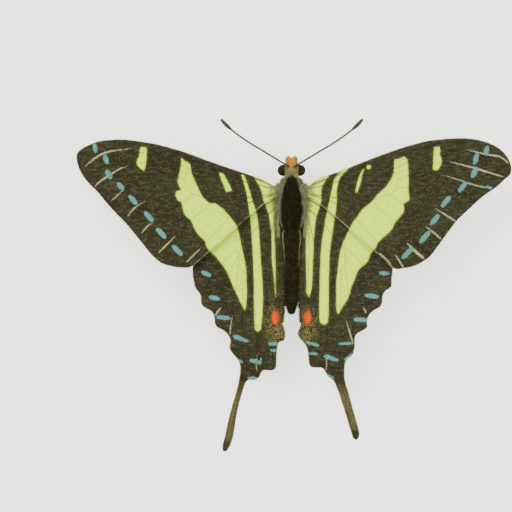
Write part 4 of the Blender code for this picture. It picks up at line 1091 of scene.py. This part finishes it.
# How dark, gold or pale the coat is at each place, from 0 to 1.
def bodyMarks(places, angle):
    x, y = places[:, 0], places[:, 1]
    rise = np.sin(angle)
    stripe, goldWidth = (np.interp(y, *zip(*bodyRule[name])) for name in ("backStripe", "faceGold"))
    darkBack = np.clip((stripe - np.abs(x)) / 0.3 + 0.5, 0.0, 1.0) * (rise > -0.1) * (y < 20.3)
    darkTail = np.clip((rise - 0.45) / 0.2, 0.0, 1.0) * (y < 9.6)
    dark = np.where(y < 9.6, darkTail, darkBack)
    gold = np.clip((goldWidth - np.abs(x)) / 0.16 + 0.5, 0.0, 1.0) * (y > 20.5) * (rise > -0.5)
    pale = np.clip((np.abs(x) - goldWidth + 0.3) / 0.3, 0.0, 1.0) * (y > 20.2)
    side = np.clip((0.55 - rise) / 0.3, 0.0, 1.0) * (y < 9.6)
    return {"dark": dark, "gold": gold, "pale": np.maximum(pale * 0.7, side * 0.75)}


coatColours = {
    "grey": (0.15, 0.145, 0.075),
    "greyGreen": (0.25, 0.265, 0.135),
    "dark": (0.011, 0.0085, 0.0025),
    "darkBrown": (0.028, 0.021, 0.007),
    "gold": (0.80, 0.21, 0.008),
    "goldLight": (0.92, 0.48, 0.04),
    "pale": (0.33, 0.37, 0.13),
}


def makeCoatMaterial():
    material, tree, shader = newMaterial("bodyDown", 0.8, 0.08)
    look = coatColours
    tone = attributeValue(tree, "tone")
    colour = mixColour(tree, tone, look["grey"], look["greyGreen"])
    goldTone = mixColour(tree, objectNoise(tree, 1200.0), look["gold"], look["goldLight"])
    darkTone = mixColour(tree, tone, look["dark"], look["darkBrown"])
    for name, top in (("pale", look["pale"]), ("gold", goldTone), ("dark", darkTone)):
        colour = mixColour(tree, attributeValue(tree, name), colour, top)
    tree.links.new(grainedColour(tree, colour, 0.5), shader.inputs["Base Color"])
    giveBump(tree, shader, objectNoise(tree, 7000.0, 3.0), 0.6, 0.00006)
    return material


materials["coat"] = makeCoatMaterial()


def makeBodySkin():
    form = bmesh.new()
    ys = np.linspace(stationTable[:, 0].max(), stationTable[:, 0].min(), bodyRule["rings"])
    line = [form.verts.new((1.0, y, 0.0)) for y in ys]
    edges = [form.edges.new(pair) for pair in zip(line, line[1:])]
    bmesh.ops.spin(form, geom=line + edges, cent=(0, 0, 0), axis=(0, 1, 0), angle=math.tau,
                   steps=bodyRule["sides"], use_merge=True)
    for vertex in form.verts:
        angle = math.atan2(vertex.co.z, vertex.co.x)
        vertex.co = Vector(bodyPlace(np.array([vertex.co.y]), np.array([angle]))[0])
    ends = [edge for edge in form.edges if edge.is_boundary]
    bmesh.ops.holes_fill(form, edges=ends, sides=0)
    bmesh.ops.recalc_face_normals(form, faces=form.faces[:])
    mesh = meshOf(form, "bodySkin")
    corners = meshCorners(mesh)
    angle = np.arctan2(corners[:, 2] - bodyAxis(corners[:, 1]), corners[:, 0])
    giveValues(mesh, bodyMarks(corners, angle))
    giveValues(mesh, {"tone": np.random.default_rng(3).random(len(corners)) * 0.5})
    moveCorners(mesh, corners)
    nodes = ["head", "prothorax", "thorax", "abdomen"]
    return addPiece("bodySkin", mesh, materials["coat"], nodes)


bodyCoats = {
    "thoraxDown": {"count": 9500, "span": (9.9, 18.4), "length": 1.25, "width": 0.085, "rise": 0.42,
                   "seed": 31, "slot": "thorax", "lie": (0.0, -1.0, 0.0)},
    "collarDown": {"count": 3000, "span": (18.2, 20.3), "length": 0.85, "width": 0.07, "rise": 0.38,
                   "seed": 32, "slot": "thorax", "lie": (0.0, -1.0, 0.0)},
    "faceDown": {"count": 3400, "span": (20.2, 22.05), "length": 0.62, "width": 0.055, "rise": 0.24,
                 "seed": 33, "slot": "head", "lie": (0.0, 0.25, 0.15)},
    "abdomenDown": {"count": 11000, "span": (-6.9, 9.9), "length": 0.55, "width": 0.085, "rise": 0.1,
                    "seed": 34, "slot": "abdomen", "lie": (0.0, -1.0, 0.0)},
}


# Fine tapering hairs that lie backwards on the body, and forwards over the face.
def makeBodyCoat(name, look):
    dice = np.random.default_rng(look["seed"])
    low, high = look["span"]
    y = dice.uniform(low, high, look["count"] * 3)
    width, height = bodyHalf(y)
    y = y[dice.random(len(y)) < (width + height) / (width + height).max()][:look["count"]]
    count = len(y)
    angle = dice.uniform(-math.pi, math.pi, count)
    places = bodyPlace(y, angle)
    normal = bodyNormal(y, angle)
    ahead = np.tile(look["lie"], (count, 1)) + dice.normal(0.0, 0.22, (count, 3))
    sizes = hairSizes(dice, count, look)
    sizes[:, 2] *= dice.uniform(0.5, 1.3, count)
    values = bodyMarks(places, angle)
    values["dark"] = np.clip(values["dark"] + dice.normal(0.0, 0.07, count), 0.0, 1.0)
    values["tone"] = dice.random(count)
    bake = np.column_stack([angle / math.tau + 0.5, (y + 8.0) / 32.0])
    clear = np.ones(count, bool)
    if name in ("faceDown", "collarDown"):      # the eyes' sides stay bare
        clear = (y <= 20.2) | (np.abs(places[:, 0]) < 0.9)
    if name == "thoraxDown":
        sizes[:, 2] *= np.where(np.abs(places[:, 0]) > 2.0, 0.85, 1.0)
    rows = [part[clear] for part in (places, alongSurface(ahead, normal), normal, sizes)]
    addHairs(name, look["slot"], *rows, {key: numbers[clear] for key, numbers in values.items()}, bake[clear])


makeBodySkin()
for coatName, coatLook in bodyCoats.items():
    makeBodyCoat(coatName, coatLook)
print("body made")


# Eyes, palps and tegulae.

def makeEyeMaterial():
    material, tree, shader = newMaterial("eyeFacets", 0.45, 0.04)
    cells = addNode(tree, "ShaderNodeTexVoronoi", feature="F1")
    cells.inputs["Scale"].default_value = 15000.0
    place = addNode(tree, "ShaderNodeTexCoord")
    tree.links.new(place.outputs["Object"], cells.inputs["Vector"])
    colour = mixColour(tree, objectNoise(tree, 700.0, 3.0), (0.007, 0.006, 0.002), (0.024, 0.019, 0.006))
    tree.links.new(colour, shader.inputs["Base Color"])
    giveBump(tree, shader, cells.outputs["Distance"], 0.45, 0.00002, invert=True)
    return material


def makeHornMaterial(name, dark, light, roughness):
    material, tree, shader = newMaterial(name, roughness, 0.2)
    colour = mixColour(tree, objectNoise(tree, 2200.0, 3.0), dark, light)
    tree.links.new(colour, shader.inputs["Base Color"])
    giveBump(tree, shader, objectNoise(tree, 8000.0, 3.0), 0.4, 0.00003)
    return material


materials["eye"] = makeEyeMaterial()
materials["feeler"] = makeHornMaterial("feelerHorn", (0.018, 0.014, 0.005), (0.060, 0.052, 0.022), 0.55)
materials["leg"] = makeHornMaterial("legHorn", (0.035, 0.027, 0.010), (0.10, 0.082, 0.036), 0.6)
materials["tongue"] = makeHornMaterial("tongueHorn", (0.028, 0.014, 0.005), (0.07, 0.04, 0.016), 0.45)

headRule = {
    "eye": (1.65, 20.9, 7.15),
    "eyeRadius": 1.12,
    "palp": (0.6, 22.85, 6.75),
    "palpRadii": (0.36, 0.55, 0.38),
    "tuft": (0.0, 22.3, 7.0),
    "tuftRadii": (0.92, 0.72, 0.55),
    "eyeRing": 1.02,
    "eyeRingCount": 520,
    "eyeRingHair": (0.34, 0.045, 0.05, 0.045),
    "tegula": (2.3, 17.0, 8.5),
    "tegulaRadii": (0.8, 1.2, 0.5),
    "palpLift": math.radians(22.0),
}


def ballMesh(name, centre, radii, detail, lift=0.0):
    form = bmesh.new()
    bmesh.ops.create_icosphere(form, subdivisions=detail, radius=1.0)
    size = Matrix.Diagonal((*[radius * mm for radius in radii], 1.0))
    form.transform(Matrix.Translation(toWorld(centre)[0]) @ Matrix.Rotation(lift, 4, "X") @ size)
    return meshOf(form, name)


# Hairs all over an egg-shaped form.
def ballHairs(name, look, centre, radii, lead, lift=0.0):
    dice = np.random.default_rng(look["seed"])
    count = look["count"]
    way = unitRows(dice.normal(0.0, 1.0, (count, 3)))
    turn = np.array(Matrix.Rotation(lift, 3, "X"))
    places = (way * radii) @ turn.T + np.array(centre)
    normal = unitRows((way / np.array(radii)) @ turn.T)
    ahead = np.tile(lead, (count, 1)) + dice.normal(0.0, 0.25, (count, 3))
    sizes = hairSizes(dice, count, look)
    values = {key: np.clip(value + dice.normal(0.0, 0.06, count), 0.0, 1.0)
              for key, value in look["paint"](places).items()}
    values["tone"] = dice.random(count)
    bake = np.column_stack([np.arctan2(way[:, 0], way[:, 1]) / math.tau + 0.5, way[:, 2] / 2 + 0.5])
    addHairs(name, look["slot"], places, alongSurface(ahead, normal), normal, sizes, values, bake)


def paintFace(places):
    inner = np.clip((0.66 - np.abs(places[:, 0])) / 0.14 + 0.5, 0.0, 1.0)
    return {"gold": inner, "dark": np.zeros(len(places)), "pale": (1.0 - inner) * 0.6}


def paintCollar(places):
    return {"gold": np.zeros(len(places)), "dark": np.full(len(places), 0.08),
            "pale": np.full(len(places), 0.3)}


ballCoats = {
    "palp": {"count": 1100, "length": 0.5, "width": 0.05, "rise": 0.24, "seed": 41, "slot": "head",
             "paint": paintFace},
    "tegula": {"count": 1700, "length": 1.0, "width": 0.075, "rise": 0.14, "seed": 43, "slot": "thorax",
               "paint": paintCollar},
    "faceTuft": {"count": 2600, "length": 0.5, "width": 0.05, "rise": 0.2, "seed": 44, "slot": "head",
                 "paint": paintFace},
}


# A form of the face, painted as the face is; the down over it is grown separately by ballHairs.
def makeFaceForm(name, centre, radii, detail, lift=0.0, nodes=()):
    form = ballMesh(name, centre, radii, detail, lift)
    giveValues(form, paintFace(meshCorners(form) / mm))
    giveValues(form, {"tone": np.full(len(form.vertices), 0.4)})
    addPiece(name, form, materials["coat"], nodes)


def makeHeadPieces(side, word):
    x, y, z = headRule["eye"]
    radius = headRule["eyeRadius"]
    eye = ballMesh("eye" + word, (side * x, y, z), (radius * 0.97, radius, radius), 5)
    addPiece("eye" + word, eye, materials["eye"], ["eye_" + word.lower()])
    makeEyeRing(side, word)
    x, y, z = headRule["palp"]
    palp = ((side * x, y, z), headRule["palpRadii"])
    makeFaceForm("palp" + word, *palp, 3, headRule["palpLift"], ["palp_" + word.lower()])
    ballHairs("palpDown" + word, ballCoats["palp"], *palp, (0.0, 1.0, 0.35), headRule["palpLift"])
    x, y, z = headRule["tegula"]
    ballHairs("tegulaDown" + word, ballCoats["tegula"], (side * x, y, z), headRule["tegulaRadii"],
              (side * 0.6, -1.0, -0.1))


# A ring of short pale hairs where each eye meets the head.
def makeEyeRing(side, word):
    dice = np.random.default_rng(61)
    x, y, z = headRule["eye"]
    count = headRule["eyeRingCount"]
    turn = dice.uniform(0.0, math.tau, count)
    spread = dice.uniform(0.9, 1.0, count) * headRule["eyeRing"]
    inner = side * (x - dice.uniform(0.5, 0.8, count))
    radial = np.column_stack([np.zeros(count), np.cos(turn), np.sin(turn)])
    places = np.column_stack([inner, y + spread * np.cos(turn), z + spread * np.sin(turn)])
    ahead = np.tile([side * 0.8, 0.0, 0.0], (count, 1)) + radial * 0.6 + dice.normal(0.0, 0.12, (count, 3))
    ahead = unitRows(ahead)
    sizes = dice.uniform(0.7, 1.2, (count, 1)) * np.array(headRule["eyeRingHair"])
    values = greyDown(dice, count, (0.5, 0.9))
    bake = np.column_stack([turn / math.tau, dice.uniform(0.1, 0.9, count)])
    addHairs("eyeRing" + word, "head", places, ahead, alongSurface(radial, ahead), sizes, values, bake)


rootDown = {
    "from": 2.3,
    "count": 2600,
    "hair": (0.95, 0.055, 0.14, 0.05),      # length, width, rise and body
    "fore": {"span": (14.2, 18.6), "reach": 4.2},
    "hind": {"span": (8.0, 15.9), "reach": 3.6},
}


# Long soft hairs that run from the thorax out over the roots of the wings.
def makeRootDown(wing):
    look = rootDown["fore" if wing.isFore else "hind"]
    dice = np.random.default_rng(71)
    out = rootDown["from"] + dice.exponential(0.5, rootDown["count"])
    low, high = look["span"]
    rearward = low + (high - low) * dice.random(rootDown["count"]) ** 0.6
    plan = np.column_stack([wing.sign * out, rearward])
    plan = plan[(wing.rim(plan) > 0.12) & (out < look["reach"])]
    count = len(plan)
    normal = wing.normal(plan)
    ahead = np.column_stack([wing.lie(plan), np.zeros(count)]) + dice.normal(0.0, 0.16, (count, 3))
    roots = np.column_stack([plan, wing.height(plan) + 0.08])
    sizes = dice.uniform(0.4, 1.1, (count, 1)) * np.array(rootDown["hair"])
    addHairs(wing.name + "RootDown", "thorax", roots, alongSurface(ahead, normal), normal, sizes,
             greyDown(dice, count, (0.2, 0.9), (0.0, 0.12)), (plan - wing.low) / wing.size)


# The rounded tuft that joins the palps to the face.
def makeFaceTuft():
    tuft = (headRule["tuft"], headRule["tuftRadii"])
    makeFaceForm("faceTuft", *tuft, 4)
    ballHairs("faceTuftDown", ballCoats["faceTuft"], *tuft, (0.0, 1.0, 0.25))


makeHeadPieces(-1.0, "Left")
makeHeadPieces(1.0, "Right")
makeFaceTuft()
for wing in wings:
    makeRootDown(wing)

antennaRule = {
    "path": [
        (0.95, 21.85, 8.35), (1.9, 22.4, 8.9), (3.6, 23.4, 9.5), (5.6, 24.6, 10.0), (7.8, 25.9, 10.4),
        (9.9, 27.3, 10.7), (11.6, 28.6, 10.9), (12.9, 29.8, 11.0), (13.7, 30.7, 11.05),
    ],
    "radius": 0.2,
    "club": 0.42,
    "clubLength": 2.9,
    "ring": 0.34,
    "waist": 0.84,
}


# A ringed shaft that swells into a club, standing on a round socket at the head.
def makeAntenna(side, word):
    line = smoothLine([(side * x, y, z) for x, y, z in antennaRule["path"]], 0.057)
    steps = np.linalg.norm(np.diff(line, axis=0), axis=1)
    length = np.concatenate([[0.0], np.cumsum(steps)])
    left = length[-1] - length
    share = np.clip(1.0 - left / antennaRule["clubLength"], 0.0, 1.0)
    swell = np.sin(np.pi * share ** 0.8 * 0.93)
    radius = antennaRule["radius"] + (antennaRule["club"] - antennaRule["radius"]) * np.maximum(swell, 0.0)
    part = (length / antennaRule["ring"]) % 1.0
    radius *= 1.0 - (1.0 - antennaRule["waist"]) * np.exp(-(np.minimum(part, 1 - part) / 0.12) ** 2)
    radius[-3:] *= np.array([0.8, 0.6, 0.3])
    stations = [(tuple(place), float(r)) for place, r in zip(line, radius)]
    root = Vector(line[0])
    outward = (Vector(line[4]) - root).normalized()
    socket = [(tuple(root - outward * 0.6), 0.2), (tuple(root - outward * 0.3), 0.27),
              (tuple(root + outward * 0.02), 0.27), (tuple(root + outward * 0.14), 0.2)]
    mesh = tubesMesh("antenna" + word, [stations, socket], 4)
    addPiece("antenna" + word, mesh, materials["feeler"], ["antenna_" + word.lower()])


makeAntenna(-1.0, "Left")
makeAntenna(1.0, "Right")


tongueRule = {
    "centre": (21.5, 4.85),
    "start": 0.26,
    "pitch": 0.4,
    "turns": 1.78,
    "steps": 90,
    "apart": 0.06,
    "topAngle": math.radians(100.0),
    "tip": 0.075,
    "swell": 0.045,
}


# The coiled tongue, two fused tubes wound in a flat spiral under the head.
def makeTongue():
    rule = tongueRule
    steps = rule["steps"]
    lines = []
    for side in (-rule["apart"], rule["apart"]):
        line = []
        for step in range(steps + 1):
            turn = rule["turns"] * step / steps
            reach = rule["start"] + rule["pitch"] * turn
            angle = rule["topAngle"] - math.tau * (rule["turns"] - turn)
            ringed = 1.0 + 0.06 * math.sin(step * 2.1)
            radius = (rule["tip"] + rule["swell"] * step / steps) * ringed
            line.append(((side, rule["centre"][0] + reach * math.cos(angle),
                          rule["centre"][1] + reach * math.sin(angle)), radius))
        last = line[-1][0]
        for forward, up in ((0.05, 0.35), (0.02, 0.75)):
            line.append(((side, last[1] + forward, last[2] + up), rule["tip"] + rule["swell"]))
        lines.append(line)
    addPiece("tongue", tubesMesh("tongue", lines, 3), materials["tongue"], ["proboscis"])


makeTongue()
print("head pieces made")

legRule = {
    "joints": {
        "front": {"root": (1.0, 17.0, 4.3), "knee": (4.1, 17.5, 4.9), "ankle": (6.0, 18.1, 0.55),
                  "toe": (9.0, 18.9, 0.2)},
        "middle": {"root": (1.2, 14.9, 4.1), "knee": (5.2, 13.6, 5.1), "ankle": (7.3, 12.2, 0.55),
                   "toe": (10.6, 11.4, 0.2)},
        "hind": {"root": (1.1, 12.5, 4.4), "knee": (4.3, 8.0, 5.0), "ankle": (6.2, 3.4, 0.55),
                 "toe": (8.0, -0.2, 0.2)},
    },
    "leftShift": {"front": (-0.3, -0.5), "middle": (0.3, 0.5), "hind": (-0.2, 0.6)},
    "coxa": 0.5,
    "femur": 0.38,
    "tibia": 0.27,
    "tarsus": 0.23,
    "axisZ": 0.23,
    "hipShare": 0.22,
    "hipDrop": 0.75,
    "tarsusParts": 5,
    "tarsusTaper": 0.04,
    "hairWidth": 0.05,
    # shares of a part's length and of its radius
    "femurStops": [(-0.04, 0.3), (0.04, 0.8), (0.4, 1.0), (0.9, 0.78), (1.0, 0.72), (1.05, 0.3)],
    "tibiaStops": [(-0.05, 0.3), (0.02, 0.95), (0.3, 0.85), (0.92, 1.05), (1.0, 0.75), (1.03, 0.3)],
    "partStops": [(0.04, 0.72), (0.2, 0.85), (0.8, 1.0), (0.97, 0.78)],
    # a claw's places ahead of the toe and beside it, its heights and radii
    "spurs": {"at": 0.87, "length": 0.85, "radii": (0.1, 0.085, 0.02)},
    "claw": [(-0.1, 0.07, 0.22, 0.09), (0.22, 0.2, 0.3, 0.075), (0.45, 0.27, 0.2, 0.05),
             (0.58, 0.26, 0.06, 0.015)],
}


# Places and radii along a limb, eased between the stops that shape it.
def legTube(stops, count):
    places = np.array([stop[0] for stop in stops], float)
    radii = np.array([stop[1] for stop in stops], float)
    shares = np.linspace(0.0, len(stops) - 1.0, count)
    index = np.minimum(shares.astype(int), len(stops) - 2)
    part = shares - index
    eased = part * part * (3.0 - 2.0 * part)
    line = places[index] * (1 - part)[:, None] + places[index + 1] * part[:, None]
    radius = radii[index] * (1 - eased) + radii[index + 1] * eased
    return [(tuple(place), float(r)) for place, r in zip(line, radius)]


# A limb's part from start to end: its stops are shares of its length and of its radius.
def limbTube(start, end, radius, stops, count):
    return legTube([(start.lerp(end, share), radius * size) for share, size in stops], count)


# The pair of claws at the toe and the pair of spurs at the ankle.
def clawLines(knee, ankle, toe, ahead):
    across = Vector((-ahead.y, ahead.x, 0.0))
    spurs = legRule["spurs"]
    lines = []
    for spread in (-1.0, 1.0):
        lines.append([])
        for forward, aside, height, radius in legRule["claw"]:
            place = toe + ahead * forward + across * aside * spread
            lines[-1].append(((place.x, place.y, height), radius))
        spur = knee.lerp(ankle, spurs["at"])
        tip = spur + (ahead * 0.6 + across * 0.55 * spread - Vector((0.0, 0.0, 0.5))) * spurs["length"]
        lines.append(legTube(list(zip((spur, spur.lerp(tip, 0.5), tip), spurs["radii"])), 7))
    return lines


def makeLeg(pair, side, word):
    shift = (0.0, 0.0) if side > 0 else legRule["leftShift"][pair]
    joints = {}
    for joint, (x, y, z) in legRule["joints"][pair].items():
        moved = 0.0 if joint == "root" else 1.0
        joints[joint] = Vector((side * (x + shift[0] * moved), y + shift[1] * moved, z))
    root, knee, ankle, toe = (joints[name] for name in ("root", "knee", "ankle", "toe"))
    share = legRule["hipShare"]
    hip = Vector((root.x + (knee.x - root.x) * share, root.y + (knee.y - root.y) * share,
                  root.z - legRule["hipDrop"]))
    coxa, femur, tibia, tarsus = (legRule[name] for name in ("coxa", "femur", "tibia", "tarsus"))
    lines = [
        legTube([(root + Vector((0, 0, 0.6)), coxa * 0.9), (root - Vector((0, 0, 0.4)), coxa),
                 (hip, coxa * 0.72), (hip + (hip - root) * 0.08, coxa * 0.3)], 14),
        limbTube(hip, knee, femur, legRule["femurStops"], 22),
        limbTube(knee, ankle, tibia, legRule["tibiaStops"], 22),
    ]
    onFloor = ankle.lerp(toe, 0.14)
    onFloor.z = legRule["axisZ"]
    end = onFloor.lerp(toe, 1.03)
    end.z = legRule["axisZ"]
    stops = [(ankle + Vector((0, 0, 0.05)), tarsus * 0.5), (ankle, tarsus * 0.9)]
    for number in range(legRule["tarsusParts"]):
        for share, size in legRule["partStops"]:
            place = onFloor.lerp(toe, (number + share) / legRule["tarsusParts"])
            place.z = legRule["axisZ"]
            stops.append((place, tarsus * size * (1.0 - legRule["tarsusTaper"] * number)))
    lines.append(legTube(stops + [(end, tarsus * 0.3)], 70))
    ahead = (toe - onFloor).normalized()
    ahead.z = 0.0
    lines += clawLines(knee, ankle, toe, ahead)
    name = "leg" + pair.capitalize() + word
    addPiece(name, tubesMesh(name, lines, 4), materials["leg"], [f"leg_{pair}_{word.lower()}"])
    makeLegHairs(name + "Down", [(hip, knee, femur * 0.9, 260, 0.5), (knee, ankle, tibia * 0.95, 220, 0.42),
                                 (onFloor, toe, tarsus * 0.85, 160, 0.22)])


# Each span is start, end, radius, count of hairs and their length.
def makeLegHairs(name, spans):
    dice = np.random.default_rng(51)
    rows = []
    for start, end, radius, count, length in spans:
        along = (end - start).normalized()
        first = along.orthogonal().normalized()
        second = along.cross(first)
        for share, angle, vary in zip(dice.uniform(0.03, 0.97, count), dice.uniform(0, math.tau, count),
                                      dice.uniform(0.6, 1.2, count)):
            normal = first * math.cos(angle) + second * math.sin(angle)
            place = start.lerp(end, share) + normal * radius * 0.9
            if place.z < 0.3 and normal.z < 0.2:
                continue
            ahead = (along + normal * 0.15).normalized()
            rows.append((tuple(place), tuple(ahead), tuple(normal),
                         (length * vary, legRule["hairWidth"], length * 0.25 * vary, legRule["hairWidth"])))
    count = len(rows)
    values = greyDown(dice, count, (0.0, 0.6), (0.2, 0.8))
    bake = np.column_stack([np.linspace(0.02, 0.98, count), dice.uniform(0.02, 0.98, count)])
    addHairs(name, "leg", *(np.array(part) for part in zip(*rows)), values, bake)


for pairName in legRule["joints"]:
    makeLeg(pairName, -1.0, "Left")
    makeLeg(pairName, 1.0, "Right")
print("legs made")


# Floor, light and camera.
stageRule = {
    "floorSize": 3.0,
    "floorColour": (0.93, 0.93, 0.92),
    "floorGlow": 1.1,        # a pale table lit from below as well
    "cameraPlace": (-6.9, 4.26, 550.0),
    "frameWidth": 99.03,
    "frameHeight": 9.5,      # the camera's framing holds at this height above the floor
    "sensor": 36.0,
    "worldLight": 1.5,
    "lamps": {"keyLight": ((-0.45, 0.5, 0.75), 0.6, 8.4), "fillLight": ((0.6, -0.2, 0.6), 0.8, 3.2)},
}


def makeStage():
    form = bmesh.new()
    bmesh.ops.create_grid(form, x_segments=1, y_segments=1, size=stageRule["floorSize"] / 2)
    floor = looseObject("floor", meshOf(form, "floor"))
    material, tree, shader = newMaterial("paleFloor", 0.9, 0.1)
    shader.inputs["Base Color"].default_value = (*stageRule["floorColour"], 1.0)
    shader.inputs["Emission Color"].default_value = (1.0, 1.0, 1.0, 1.0)
    shader.inputs["Emission Strength"].default_value = stageRule["floorGlow"]
    floor.data.materials.append(material)

    world = bpy.data.worlds.new("softDay")
    world.use_nodes = True
    world.node_tree.nodes["Background"].inputs[0].default_value = (1.0, 1.0, 1.0, 1.0)
    world.node_tree.nodes["Background"].inputs[1].default_value = stageRule["worldLight"]
    bpy.context.scene.world = world
    for name, (place, size, power) in stageRule["lamps"].items():
        lamp = bpy.data.lights.new(name, "AREA")
        lamp.size = size
        lamp.energy = power
        light = looseObject(name, lamp)
        light.location = place
        light.rotation_euler = (-Vector(place)).to_track_quat("-Z", "Y").to_euler()

    camera = bpy.data.cameras.new("camera")
    camera.sensor_width = stageRule["sensor"]
    x, y, z = stageRule["cameraPlace"]
    camera.lens = stageRule["sensor"] * (z - stageRule["frameHeight"]) / stageRule["frameWidth"]
    camera.clip_start = 0.01
    camera.clip_end = 10.0
    watcher = looseObject("camera", camera)
    watcher.location = toWorld((x, y, z))[0]
    bpy.context.scene.camera = watcher


makeStage()
print("stage made")
